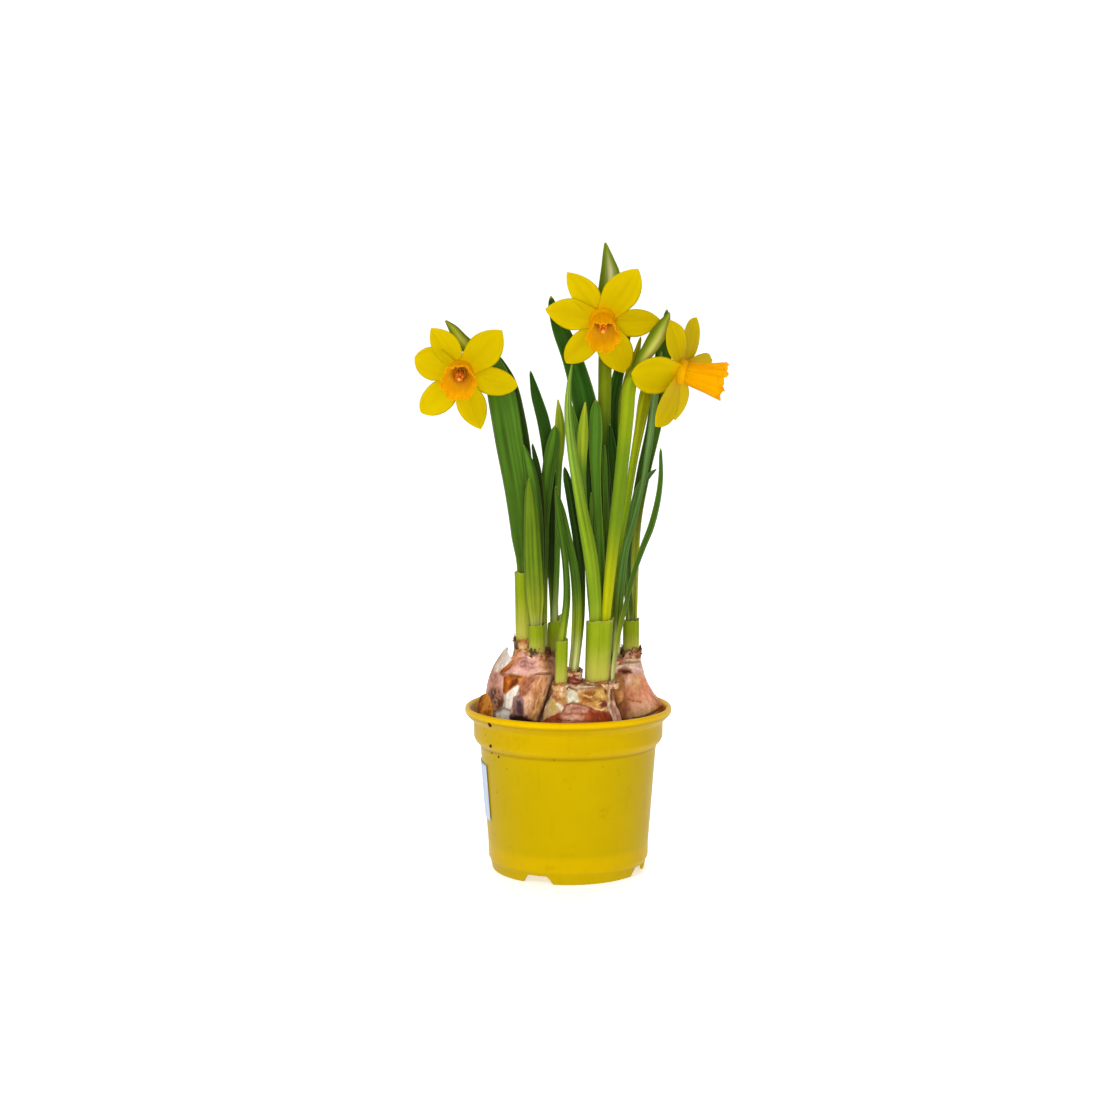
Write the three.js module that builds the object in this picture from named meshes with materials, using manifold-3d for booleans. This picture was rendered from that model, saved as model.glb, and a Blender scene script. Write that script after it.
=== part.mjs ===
// A pot of dwarf daffodils: three bulbs stand on the compost of a plastic grower's pot, and each sends up
// leaves, scapes and buds through the pale sheaths round its noses. Three blooms are open.
// Millimetres, +Z up. The origin is on the pot's axis, on the surface that the pot stands on.
// The plant's front faces -Y.

import * as THREE from 'three';
import { mergeVertices } from 'three/addons/utils/BufferGeometryUtils.js';
import Module from 'manifold-3d';

const wasm = await Module();
wasm.setup();

// Driving dimensions
const RIM_RADIUS = 50;
const POT_HEIGHT = 79.8;
const WALL = 1;
const FLOOR_TOP = 6.2;
const FOOT_INNER_RADIUS = 35.6;
const POT_SIDES = 36;
const NOTCH_AZIMUTHS = [66.5, 156.5, 246.5, 336.5];
const NOTCH_HEIGHT = 4;
const NOTCH_WIDTH = 14;
const DRAIN_RADIUS = 4;
const DRAIN_CIRCLE = 26;
const COMPOST_LEVEL = 71.5;
const CLEARANCE = 0.35;
const BLADE_THICKNESS = 0.9;
const SHEATH_THICKNESS = 0.6;
const TEPAL_HALF_WIDTH = 7.2;
const TEPAL_THICKNESS = 0.7;
const CORONA_LENGTH = 19.5;
const CORONA_THICKNESS = 0.7;

// Colours and finishes
const FINISHES = {
  pot_plastic: { color: 0xe0ba00, roughness: 0.45 },
  label_paper: { color: 0xd5dcec, roughness: 0.6 },
  compost: { color: 0x2a1a10, roughness: 0.95 },
  bulb_tunic: { color: 0xb9826a, roughness: 0.6 },
  sheath: { color: 0xc5d68c, roughness: 0.5 },
  leaf: { color: 0x2f6e1e, roughness: 0.45 },
  scape: { color: 0x7f9a1a, roughness: 0.45 },
  spathe: { color: 0x9aa83a, roughness: 0.6 },
  bud: { color: 0xa2b515, roughness: 0.5 },
  tepal: { color: 0xe0c400, roughness: 0.55 },
  corona: { color: 0xf6a700, roughness: 0.55 },
  stamen: { color: 0xd87a10, roughness: 0.6 },
};

const radians = THREE.MathUtils.degToRad;

// Solids and booleans

function indexed(positions, triangles) {
  const geometry = new THREE.BufferGeometry();
  geometry.setAttribute('position', new THREE.Float32BufferAttribute(positions, 3));
  geometry.setIndex(triangles);
  return geometry;
}

function signedVolume(positions, triangles) {
  const corner = (k) => new THREE.Vector3().fromArray(positions, 3 * triangles[k]);
  let volume = 0;
  for (let k = 0; k < triangles.length; k += 3) {
    volume += corner(k).dot(corner(k + 1).cross(corner(k + 2))) / 6;
  }
  return volume;
}

function facingOut(positions, triangles) {
  return signedVolume(positions, triangles) < 0 ? triangles.reverse() : triangles;
}

function toSolid(geometry) {
  const bare = geometry.clone();
  bare.deleteAttribute('normal');
  bare.deleteAttribute('uv');
  const merged = mergeVertices(bare, 1e-5);
  const positions = merged.attributes.position.array;
  const corners = merged.index.array;
  const triangles = [];
  for (let k = 0; k < corners.length; k += 3) {
    const [a, b, c] = [corners[k], corners[k + 1], corners[k + 2]];
    if (a !== b && b !== c && c !== a) {
      triangles.push(a, b, c);
    }
  }
  return new wasm.Manifold(new wasm.Mesh({
    numProp: 3,
    vertProperties: new Float32Array(positions),
    triVerts: new Uint32Array(facingOut(positions, triangles)),
  }));
}

function toGeometry(solid) {
  const mesh = solid.getMesh();
  const positions = [];
  for (let k = 0; k < mesh.numVert; k += 1) {
    positions.push(...mesh.vertProperties.slice(k * mesh.numProp, k * mesh.numProp + 3));
  }
  return indexed(positions, Array.from(mesh.triVerts));
}

const joined = (solids) => solids.reduce((whole, next) => whole.add(next));

// Two triangles of the grid cell a-b over d-c; far cells take the other diagonal, so that both faces of a
// thin blade are split alike.
function cell(a, b, c, d, far) {
  return far ? [a, b, d, b, c, d] : [a, b, c, a, c, d];
}

// A closed body through rings of equal, even count; each end is closed by a strip across its ring.
function loft(rings) {
  const count = rings[0].length;
  const positions = rings.flat().flatMap((p) => p.toArray());
  const triangles = [];
  for (let i = 0; i + 1 < rings.length; i += 1) {
    for (let j = 0; j < count; j += 1) {
      const k = (j + 1) % count;
      const low = i * count;
      const high = low + count;
      triangles.push(...cell(low + j, low + k, high + k, high + j, j >= count / 2));
    }
  }
  const closeEnd = (start, flip) => {
    for (let j = 0; j < count / 2; j += 1) {
      const [a, b] = [start + j, start + j + 1];
      const [c, d] = [start + count - j - 1, start + ((count - j) % count)];
      const faces = [];
      if (b !== c) {
        faces.push(a, b, c);
      }
      if (j > 0) {
        faces.push(a, c, d);
      }
      triangles.push(...(flip ? faces : faces.reverse()));
    }
  };
  closeEnd(0, false);
  closeEnd((rings.length - 1) * count, true);
  return indexed(positions, facingOut(positions, triangles));
}

// A closed shell between two stacks of rings, open through its middle.
function shell(outerRings, innerRings) {
  const count = outerRings[0].length;
  const rows = outerRings.length;
  const positions = [...outerRings, ...innerRings].flat().flatMap((p) => p.toArray());
  const inner = rows * count;
  const triangles = [];
  for (let j = 0; j < count; j += 1) {
    const k = (j + 1) % count;
    for (let i = 0; i + 1 < rows; i += 1) {
      const [low, high] = [i * count, (i + 1) * count];
      triangles.push(...cell(low + j, low + k, high + k, high + j, false));
      const [deepLow, deepHigh] = [inner + low, inner + high];
      triangles.push(...cell(deepLow + j, deepLow + k, deepHigh + k, deepHigh + j, false).reverse());
    }
    const top = (rows - 1) * count;
    triangles.push(...cell(top + j, top + k, inner + top + k, inner + top + j, false));
    triangles.push(...cell(inner + j, inner + k, k, j, false));
  }
  return indexed(positions, facingOut(positions, triangles));
}

// A solid of revolution round +Z from [radius, height] pairs.
function lathe(profile, sides) {
  const points = profile.map(([r, z]) => new THREE.Vector2(r, z));
  return new THREE.LatheGeometry(points, sides).rotateX(Math.PI / 2);
}

// A ring with softly squared sides, like the section of a nose packed with leaves.
const SQUARENESS = 3;

function oval(x, y, rx, ry, sides, heightAt) {
  const ring = [];
  for (let j = 0; j < sides; j += 1) {
    const a = (2 * Math.PI * j) / sides;
    const [c, s] = [Math.cos(a), Math.sin(a)];
    const swell = (Math.abs(c) ** SQUARENESS + Math.abs(s) ** SQUARENESS) ** (-1 / SQUARENESS);
    ring.push(new THREE.Vector3(x + rx * swell * c, y + ry * swell * s, heightAt(a)));
  }
  return ring;
}

// Smooth value at t in 0..1 along a list of numbers.
function along(values, t) {
  const points = values.map((v, k) => new THREE.Vector3(v, k, 0));
  return new THREE.CatmullRomCurve3(points, false, 'centripetal').getPoint(t).x;
}

function pathThrough(points) {
  const places = points.map(([x, y, z]) => new THREE.Vector3(x, y, z));
  return new THREE.CatmullRomCurve3(places, false, 'centripetal');
}

// Blades and stems

const BLADE_STATIONS = [0, 0.16, 0.32, 0.48, 0.64, 0.79, 0.9, 0.97, 1];
const BLADE_SPREAD = [-1, -0.5, 0, 0.5, 1];
const EDGE_TAPER = 0.85;

// One crescent ring of a blade: its edges curl towards the face.
function crescent(centre, across, face, halfWidth, thickness, curl) {
  const at = (s, side) => {
    const half = (thickness / 2) * (1 - EDGE_TAPER * s * s) * side;
    return centre.clone()
      .addScaledVector(across, halfWidth * s)
      .addScaledVector(face, curl * halfWidth * s * s + half);
  };
  const front = BLADE_SPREAD.map((s) => at(s, Math.abs(s) === 1 ? 0 : 1));
  const back = BLADE_SPREAD.slice(1, -1).reverse().map((s) => at(s, -1));
  return [...front, ...back];
}

// A leaf or spathe through hand-set points [x, y, z, half width]; its hollow side looks to the azimuth.
function blade(points, { azimuth, curl = 0.22 }) {
  const path = pathThrough(points);
  const widths = points.map((p) => p[3]);
  const turn = radians(azimuth);
  const rings = BLADE_STATIONS.map((t) => {
    const tangent = path.getTangent(t);
    const face = new THREE.Vector3(Math.cos(turn), Math.sin(turn), 0);
    face.addScaledVector(tangent, -face.dot(tangent)).normalize();
    const across = new THREE.Vector3().crossVectors(tangent, face);
    const halfWidth = Math.max(along(widths, t), 0.3);
    return crescent(path.getPoint(t), across, face, halfWidth, Math.min(BLADE_THICKNESS, halfWidth), curl);
  });
  return loft(rings);
}

// A stem through points [x, y, z, radius across, radius fore and aft].
function stem(points, stations, sides = 8) {
  const path = pathThrough(points);
  const wide = points.map((p) => p[3]);
  const deep = points.map((p) => p[4] ?? p[3]);
  const across = new THREE.Vector3(1, 0, 0);
  const rings = [];
  for (let k = 0; k < stations; k += 1) {
    const t = k / (stations - 1);
    const tangent = path.getTangent(t);
    across.addScaledVector(tangent, -across.dot(tangent)).normalize();
    const fore = new THREE.Vector3().crossVectors(tangent, across);
    const ring = [];
    for (let j = 0; j < sides; j += 1) {
      const a = (2 * Math.PI * j) / sides;
      ring.push(path.getPoint(t)
        .addScaledVector(across, Math.cos(a) * along(wide, t))
        .addScaledVector(fore, Math.sin(a) * along(deep, t)));
    }
    rings.push(ring);
  }
  return loft(rings);
}

// Pot

const POT_OUTSIDE = [
  [36.9, 0], [37.5, 2.5], [37.9, 4.8], [38.8, 6.2], [38.9, 13], [42.44, 59.4], [42.9, 61.2], [44.8, 63],
  [45.7, 65], [45.8, 72.6], [47.7, 74.3], [49.5, 76.1], [RIM_RADIUS, 77.4], [49.8, 79.1],
  [48.8, POT_HEIGHT],
];
const POT_INSIDE = [
  [47.7, 79], [44.8, 73.2], [44.7, 65.6], [43.9, 64.1], [41.8, 62], [41.4, 59.6], [37.7, 10],
  [36.8, FLOOR_TOP],
];

function potSolid() {
  const floorBottom = FLOOR_TOP - WALL;
  const profile = [
    ...POT_OUTSIDE, ...POT_INSIDE, [0, FLOOR_TOP], [0, floorBottom], [FOOT_INNER_RADIUS, floorBottom],
    [FOOT_INNER_RADIUS, 0], POT_OUTSIDE[0],
  ];
  let pot = toSolid(lathe(profile, POT_SIDES));
  const half = NOTCH_WIDTH / 2;
  const outline = new THREE.Shape([
    new THREE.Vector2(-half, -1), new THREE.Vector2(half, -1),
    new THREE.Vector2(half - 1, NOTCH_HEIGHT - 1),
    new THREE.Vector2(half - 2.5, NOTCH_HEIGHT), new THREE.Vector2(2.5 - half, NOTCH_HEIGHT),
    new THREE.Vector2(1 - half, NOTCH_HEIGHT - 1),
  ]);
  for (const azimuth of NOTCH_AZIMUTHS) {
    const notch = new THREE.ExtrudeGeometry(outline, { depth: 10, bevelEnabled: false });
    notch.rotateX(Math.PI / 2).translate(0, -32, 0).rotateZ(radians(azimuth + 90));
    pot = pot.subtract(toSolid(notch));
    const drain = new THREE.CylinderGeometry(DRAIN_RADIUS, DRAIN_RADIUS, 4, 12).rotateX(Math.PI / 2);
    const reach = radians(azimuth);
    drain.translate(DRAIN_CIRCLE * Math.cos(reach), DRAIN_CIRCLE * Math.sin(reach), FLOOR_TOP - WALL / 2);
    pot = pot.subtract(toSolid(drain));
  }
  return toGeometry(pot);
}

// The blank sticker on the pot's left side
const LABEL = { from: 158, to: 200, low: 26, high: 53, gap: 0.3, thickness: 0.4, columns: 6 };

function labelSolid() {
  const [[lowRadius, lowLevel], [highRadius, highLevel]] = [POT_OUTSIDE[4], POT_OUTSIDE[5]];
  const radiusAt = (z) => THREE.MathUtils.mapLinear(z, lowLevel, highLevel, lowRadius, highRadius);
  const rings = [];
  for (let k = 0; k <= LABEL.columns; k += 1) {
    const a = radians(LABEL.from + ((LABEL.to - LABEL.from) * k) / LABEL.columns);
    const corner = (z, lift) => {
      const r = radiusAt(z) + LABEL.gap + lift;
      return new THREE.Vector3(r * Math.cos(a), r * Math.sin(a), z);
    };
    rings.push([
      corner(LABEL.low, 0), corner(LABEL.high, 0),
      corner(LABEL.high, LABEL.thickness), corner(LABEL.low, LABEL.thickness),
    ]);
  }
  return loft(rings);
}

// Bulbs: rows are [height, radius]; the axis leans from foot to head; noses carry the shoots

const NOSES = {
  left_a: {
    x: -20.3, y: -1, rx: 4.9, ry: 6.7, base: 110.4, rim: 144.8, lean: [-0.6, 0],
    flare: 0, tilt: 0.4,
  },
  left_b: {
    x: -15, y: -11.7, rx: 3.9, ry: 4.5, base: 106.2, rim: 120.5, lean: [0, 0],
    flare: 0, tilt: 0.3,
  },
  left_c: {
    x: -7.2, y: -1.6, rx: 3.2, ry: 3.8, base: 104.4, rim: 121, lean: [0.6, 0.8],
    flare: 0, tilt: 2.2,
  },
  left_d: { x: -11.5, y: -5.2, rx: 1.9, ry: 1.3, base: 104.6 },
  front_a: {
    x: -3.6, y: -28.1, rx: 2.8, ry: 3, base: 94.2, rim: 115.3,
    lean: [0.5, -0.2], flare: 0, tilt: 0.6,
  },
  front_b: { x: 2.4, y: -21.9, rx: 3, ry: 4.4, base: 99.4 },
  front_c: {
    x: 13.4, y: -22.4, rx: 5.7, ry: 5.9, base: 94.2, rim: 124.4, lean: [1.4, 0],
    flare: 0.6, tilt: 0.8,
  },
  front_d: { x: 20.9, y: -24.6, rx: 1.7, ry: 1.6, base: 94.4 },
  right_a: { x: 30.6, y: 8, rx: 3.9, ry: 4.4, base: 104, rim: 120, lean: [0, 0], flare: 0, tilt: 0.5 },
  right_b: { x: 22.4, y: -0.4, rx: 3.4, ry: 8.9, base: 103 },
};

const BULBS = {
  left: {
    foot: [-23.2, -2],
    head: [-17.5, -4.5],
    rows: [
      [56, 5], [58.5, 10.5], [64, 15], [72, 17], [80, 17.3], [88, 16.6], [95, 14.6], [100, 11.8],
      [103.6, 8],
    ],
    noses: ['left_a', 'left_b', 'left_c', 'left_d'],
  },
  front: {
    foot: [6.1, -24.6],
    head: [7.6, -24],
    rows: [
      [52, 5], [54.5, 10.5], [60, 15.2], [68, 18], [76, 18.6], [83, 17.6], [89, 14.6], [92.5, 11.4],
      [94.4, 8],
    ],
    noses: ['front_a', 'front_b', 'front_c', 'front_d'],
  },
  right: {
    foot: [27, 5.5],
    head: [28.4, 5.5],
    rows: [
      [55, 5], [57.5, 10], [62, 13.6], [68, 15.8], [74, 16.7], [79, 16.2], [84, 14], [89, 11],
      [95, 8.6], [100, 7],
    ],
    noses: ['right_a', 'right_b'],
  },
};
const BULB_SIDES = 16;
const TUNIC_RIBS = 7;
const TUNIC_RELIEF = 0.35;

function bulbBody(spec, grow) {
  const { rows, foot, head } = spec;
  const [bottom, top] = [rows[0][0], rows.at(-1)[0]];
  const rings = rows.map(([z, radius], row) => {
    const rise = ((z - bottom) / (top - bottom)) ** 2;
    const ring = [];
    for (let j = 0; j < BULB_SIDES; j += 1) {
      const a = (2 * Math.PI * j) / BULB_SIDES;
      const relief = TUNIC_RELIEF * Math.sin(TUNIC_RIBS * a + 0.7 * row) * Math.min(1, radius / 12);
      const r = radius + grow + relief;
      ring.push(new THREE.Vector3(
        THREE.MathUtils.lerp(foot[0], head[0], rise) + r * Math.cos(a),
        THREE.MathUtils.lerp(foot[1], head[1], rise) + r * Math.sin(a),
        z + (row === 0 ? -grow : 0),
      ));
    }
    return ring;
  });
  return toSolid(loft(rings));
}

const NECK_SIDES = 12;
const NECK_WALL = 1.2;
// Rows of the neck under a nose: [rise from the nose's base, flare]
const NECK_ROWS = [[-12, 2.6], [-4, 1.2], [0, 0], [1.6, 0.5]];
const TORN_DEPTH = 1.1;

// The neck under a nose, with the torn edge of the dry tunic standing round it.
function neck({ x, y, rx, ry, base }) {
  const rings = NECK_ROWS.map(([rise, flare], row) => {
    const torn = (a) => (row === 3 ? TORN_DEPTH * Math.sin(3 * a + x) * Math.cos(5 * a + y) : 0);
    const out = NECK_WALL + flare;
    return oval(x, y, rx + out, ry + out, NECK_SIDES, (a) => base + rise + torn(a));
  });
  return toSolid(loft(rings));
}

// The well in which a nose's shoots stand.
const WELL_DEPTH = 20;

function well({ x, y, rx, ry, base }) {
  const ring = (z) => oval(x, y, rx + CLEARANCE, ry + CLEARANCE, NECK_SIDES, () => z);
  return toSolid(loft([ring(base), ring(base + WELL_DEPTH)]));
}

// The torn piece of tunic that stands off the left bulb.
const FLAP = [
  [-36.4, -5, 76, 6.5], [-38.6, -5.4, 84, 6.6], [-39, -5.8, 92, 6], [-36.4, -6.4, 99, 4.6],
  [-32.6, -7, 104.4, 2.4], [-30, -7.4, 108.2, 0.5],
];

function bulbSolid(name) {
  const spec = BULBS[name];
  const noses = spec.noses.map((key) => NOSES[key]);
  const pieces = [bulbBody(spec, 0), ...noses.map(neck)];
  if (name === 'left') {
    pieces.push(toSolid(blade(FLAP, { azimuth: 35, curl: 0.35 })));
  }
  return toGeometry(joined(pieces).subtract(joined(noses.map(well))));
}

// Compost, with a plain socket under each bulb

const COMPOST_SIDES = 24;
const COMPOST_WALL = [
  [36.2, 6.6], [37.3, 11], [41, 59.3], [41.35, 62.2], [43.4, 64.6], [44.2, 66.9], [44.3, 69.4],
];
const COMPOST_TOP = [[39, 0], [29, 0.8], [18, 1], [7, 0.9]];

function compostSolid() {
  const rows = [...COMPOST_WALL, ...COMPOST_TOP.map(([r, rise]) => [r, COMPOST_LEVEL + rise])];
  const rings = rows.map(([r, z], row) => {
    const rough = row >= COMPOST_WALL.length ? 0.7 : 0;
    const ring = [];
    for (let j = 0; j < COMPOST_SIDES; j += 1) {
      const a = (2 * Math.PI * j) / COMPOST_SIDES;
      const bump = rough * Math.sin(7 * a + 2 * row) * Math.cos(4 * a - row);
      ring.push(new THREE.Vector3(r * Math.cos(a), r * Math.sin(a), z + bump));
    }
    return ring;
  });
  const sockets = Object.values(BULBS).map((spec) => bulbBody(spec, 2 * CLEARANCE));
  return toGeometry(toSolid(loft(rings)).subtract(joined(sockets)));
}

// Sheaths: thin pale tubes round each nose's shoots

const SHEATH_SIDES = 12;

function sheathSolid({ x, y, rx, ry, base, rim, lean, flare, tilt }) {
  const stack = (inset) => [0, 0.5, 1].map((t) => {
    const edge = (a) => (t === 1 ? tilt * Math.cos(a) + 0.4 * tilt * Math.sin(2 * a) : 0);
    const level = THREE.MathUtils.lerp(base + CLEARANCE, rim, t);
    const wide = rx + flare * t - inset;
    return oval(x + lean[0] * t, y + lean[1] * t, wide, ry - inset, SHEATH_SIDES, (a) => level + edge(a));
  });
  return shell(stack(0), stack(SHEATH_THICKNESS));
}

// Leaves: points are [x, y, z, half width] from the nose to the tip

const LEAVES = {
  leaf_left_1: { azimuth: 90, points: [
    [-20.3, -4.6, 111, 2.8], [-20.6, -4.7, 131.6, 3], [-21, -4.8, 147, 3.2], [-21.8, -6.2, 162, 5.2],
    [-24.2, -7.2, 184, 6.2], [-28.2, -8.2, 208, 6.8], [-31.2, -9, 227, 6.8], [-34, -10, 240, 5.4],
    [-35.6, -10.4, 250, 1.2],
  ] },
  leaf_left_2: { azimuth: 270, points: [
    [-19.9, 2.9, 111, 2.9], [-20.7, 2.9, 144, 2.9], [-21.6, 3.6, 170, 4.8], [-23, 4, 200, 5.2],
    [-26, 4.2, 219, 5.2],
    [-29.5, 4.2, 234, 4.8], [-34.5, 4, 245, 3.2], [-38, 3.6, 250.5, 0.8],
  ] },
  leaf_left_3: { azimuth: 90, points: [
    [-15.1, -13.6, 107, 2.3], [-15.3, -13.6, 121, 2.5], [-15.8, -13.3, 134, 3.9],
    [-16.8, -13.6, 151, 4.2],
    [-17.5, -13.8, 172, 3.5], [-18.3, -13.9, 184, 2.2], [-18.7, -13.9, 190.5, 0.6],
  ] },
  leaf_left_4: { azimuth: 90, points: [
    [-15.1, -11.4, 107, 2.2], [-14.9, -11.3, 123, 2.3], [-14.5, -9.9, 150, 2.8], [-15.2, -9.2, 172, 3],
    [-17.2, -8.8, 188, 3.2], [-19.4, -8.6, 199, 2.2], [-21.3, -8.4, 206, 0.5],
  ] },
  leaf_left_5: { azimuth: 270, points: [
    [-15, -9.2, 107, 2.1], [-14.6, -8.9, 124, 2.1], [-13.3, -6.8, 150, 2.2], [-13.4, -5.8, 175, 2.2],
    [-14.8, -5.2, 194, 1.8], [-17.2, -4.8, 206.5, 0.5],
  ] },
  leaf_left_6: { azimuth: 90, points: [
    [-11.5, -5.2, 105.2, 1.4], [-11.8, -4.2, 122, 1.5], [-11.6, -3, 146, 1.7], [-11.3, -2.4, 170, 2.2],
    [-10.2, -2.2, 187, 3], [-7.8, -2.2, 203, 3.4], [-6.6, -2.4, 211, 2.2], [-6.4, -2.4, 215, 0.6],
  ] },
  leaf_left_7: { azimuth: 270, points: [
    [-7.2, 0.2, 105, 1.8], [-6.8, 0.9, 124, 1.8], [-7.8, 4, 150, 2.4], [-8.4, 6.4, 178, 2.6],
    [-9.8, 6.8, 203, 3],
    [-12.1, 7, 217, 3], [-15.5, 7.2, 229, 2.4], [-18.3, 7.4, 240.8, 0.5],
  ] },
  leaf_front_1: { azimuth: 90, points: [
    [-3.6, -28.1, 95, 1.7], [-3, -28.3, 115.3, 1.7], [-0.8, -28.2, 134.4, 1.6], [-1.2, -29, 148.5, 1.5],
    [-2.9, -29.6, 162.7, 1.4], [-5, -30, 176.8, 1.3], [-6.1, -30, 188, 0.5],
  ] },
  leaf_front_2: { azimuth: 90, points: [
    [2.2, -24.5, 100, 1.7], [3.6, -25, 115, 2.1], [3.9, -25.4, 134, 2.1], [2.4, -25.8, 150, 2],
    [-0.4, -26, 163, 1.9],
    [-3, -26, 175, 1.7], [-4.9, -26, 184, 0.5],
  ] },
  leaf_front_3: { azimuth: 90, points: [
    [2.4, -22, 100, 2.1], [4.4, -21.8, 120, 2.3], [5.2, -21.6, 142, 2.2], [4.2, -21.4, 161, 2.1],
    [2, -21.2, 175, 2],
    [-0.6, -20.8, 190, 1.8], [-2, -20.6, 196.5, 0.5],
  ] },
  leaf_front_4: { azimuth: 270, points: [
    [2.8, -19.3, 100, 1.8], [5, -17.4, 125, 2.4], [5.2, -14.6, 150, 2.6], [4.4, -13, 175, 2.8],
    [3.8, -12.2, 194, 2.9], [2.8, -11.2, 213, 2.7], [1.4, -11, 225, 0.6],
  ] },
  leaf_front_5: { azimuth: 90, points: [
    [12, -25.2, 95, 2], [12.3, -25.2, 112, 2.3], [12.7, -25.8, 131.9, 2.7], [10.6, -26.6, 153, 3.3],
    [6, -26.2, 177.7, 2.8], [1.9, -25.2, 202.8, 2.4], [-0.1, -24.6, 222, 1.9], [0.2, -24.2, 234, 1.2],
    [1.6, -24, 244.4, 0.4],
  ] },
  leaf_front_6: { azimuth: 270, points: [
    [14, -20.5, 95, 2.1], [14.6, -20.3, 112, 2.2], [15, -19.8, 128, 2.3], [14.4, -17.4, 161, 2.2],
    [13.2, -14.4, 185, 2.2],
    [12.6, -13.8, 200, 2.8], [12.6, -13.6, 212, 3.4], [12.8, -13.4, 222, 2.6],
    [12.9, -13.2, 227.5, 0.8],
  ] },
  leaf_front_7: { azimuth: 270, points: [
    [13.4, -18.8, 95, 2.4], [13.8, -18.7, 112, 2.5], [14, -18.5, 128, 2.6], [12.6, -13.4, 160, 4.4],
    [11, -9.6, 198, 5.2], [8.4, -7.6, 222, 5.8],
    [2.1, -6.2, 246, 4.9], [-3.5, -5.8, 260, 4], [-7.4, -5.4, 271, 2.2], [-8.4, -5.4, 276, 0.7],
  ] },
  leaf_front_8: { azimuth: 90, curl: 0.1, points: [
    [13.2, -22.6, 95, 0.9], [13.4, -22.8, 120, 1], [12.3, -23, 143, 1.1], [10.5, -22.8, 166, 1.1],
    [10.5, -22.6, 178, 0.9],
    [10.6, -22.4, 184.5, 0.4],
  ] },
  leaf_front_9: { azimuth: 140, points: [
    [20.9, -24.6, 95, 1.3], [21.8, -23.6, 105, 1.4], [24, -22.4, 118, 1.6], [27, -21.6, 130, 1.7],
    [30.4, -21, 144, 1.8],
    [35.2, -20.2, 158, 2], [39.2, -19.2, 168, 2.1], [42.4, -18.4, 181, 2], [43.6, -18, 192, 1.8],
    [43.4, -18, 201, 1.3], [43.2, -18, 205, 0.5],
  ] },
  leaf_right_1: { azimuth: 90, points: [
    [20.9, -3.6, 104, 1.5], [20.4, -4.4, 131, 1.7], [18.4, -6.8, 160, 1.6], [17.2, -9, 184, 1.6],
    [17, -9.8, 199, 1.3], [17, -10.2, 206, 0.5],
  ] },
  leaf_right_2: { azimuth: 90, points: [
    [22.8, -1.7, 104, 2], [23.1, -2.8, 135, 2.2], [23.3, -4.6, 170, 2.4], [22.4, -5.8, 189, 2.4],
    [20.9, -6.6, 203, 2.2],
    [19.6, -7, 216, 0.5],
  ] },
  leaf_right_3: { azimuth: 270, points: [
    [22.6, 5, 104, 2.1], [21.8, 4.8, 140, 2.4], [21.2, 4.6, 179, 2.8], [20.9, 4.4, 208, 3],
    [21.6, 4.4, 227, 3],
    [24.4, 4.4, 241, 2.6], [27.6, 4.4, 252, 1.6], [29.4, 4.4, 260, 0.5],
  ] },
  leaf_right_4: { azimuth: 270, points: [
    [22.9, 7.3, 104, 1.6], [23.6, 7.8, 140, 2.4], [23.9, 8.2, 179, 2.6], [24.6, 8.2, 207, 2.6],
    [26.4, 8.6, 224, 2.6],
    [29.6, 8.8, 239, 2.4], [33, 9, 250, 1.5], [34.8, 9.2, 257, 0.5],
  ] },
  leaf_right_5: { azimuth: 90, points: [
    [22.6, -5.5, 104, 1.9], [23.2, -5.7, 131, 2], [24.8, -6, 158, 1.8], [27.6, -6.4, 176, 1.7],
    [31, -6.6, 198, 1.9],
    [33.7, -6.6, 213, 2.4], [36.2, -6.6, 227, 3.1], [39, -6.6, 240, 2.6], [40.6, -6.6, 247, 0.6],
  ] },
  leaf_right_6: { azimuth: 90, points: [
    [22.6, -7.6, 104, 1.4], [24.2, -8.8, 129, 1.8], [27, -10.4, 155, 1.7], [31.4, -11.2, 172, 1.4],
    [35.2, -11.4, 188, 1.3], [37.8, -11.6, 204, 1.6], [40.6, -11.8, 227, 1.6],
    [42.8, -12, 243, 1.2], [43.8, -12.2, 250, 0.4],
  ] },
  leaf_right_7: { azimuth: 270, points: [
    [30.8, 9.7, 105, 2.3], [30.9, 9.9, 122, 2.4], [31, 10.4, 142, 2.9], [32.6, 10.8, 168, 2.9],
    [36.6, 11, 192, 3.3], [41.2, 11, 213, 3.6],
    [44.2, 11, 231, 4.2], [45.6, 11, 248, 4], [46.6, 11, 260, 2.9], [47.3, 11, 270, 0.7],
  ] },
  leaf_right_8: { azimuth: 270, points: [
    [30, 6.7, 105, 1.8], [29.9, 6.6, 121, 1.8], [28.4, 4.6, 145, 1.9], [29.2, 3.6, 160, 1.9],
    [31.6, 3.2, 176, 1.9],
    [34.4, 3, 185, 1.8], [38.6, 3, 190.6, 1.3], [42.4, 3, 193.8, 0.4],
  ] },
};

// Closed buds on their stems: points are [x, y, z, radius]

const BUDS = {
  bud_left: [
    [-7.1, -2.4, 105, 1.2], [-6.4, -1.4, 125, 1.3], [-5.4, 1, 150, 1.3], [-5, 2.6, 178.9, 1.3],
    [-4.5, 3.2, 196, 1.5],
    [-4.2, 3.2, 203, 2.1], [-4, 3.2, 212, 2.4], [-4.4, 3.2, 220, 1.7], [-5, 3.2, 227, 0.3],
  ],
  bud_front: [
    [10.4, -22.2, 95, 1.1], [11.2, -21.8, 118, 1.1], [9.6, -20.2, 143, 1.3], [8.5, -18.8, 166, 1.3],
    [6.9, -17.6, 188, 1.4],
    [6.4, -17.4, 198, 2], [6.6, -17.4, 210, 2.5], [7.2, -17.4, 219, 1.7], [7.8, -17.4, 226.4, 0.3],
  ],
};

const BUD_STATIONS = 13;

// Flowers: each has its centre, the way its axis looks,
// and six tepals [angle, length, lean, bend, width, twist]

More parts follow.
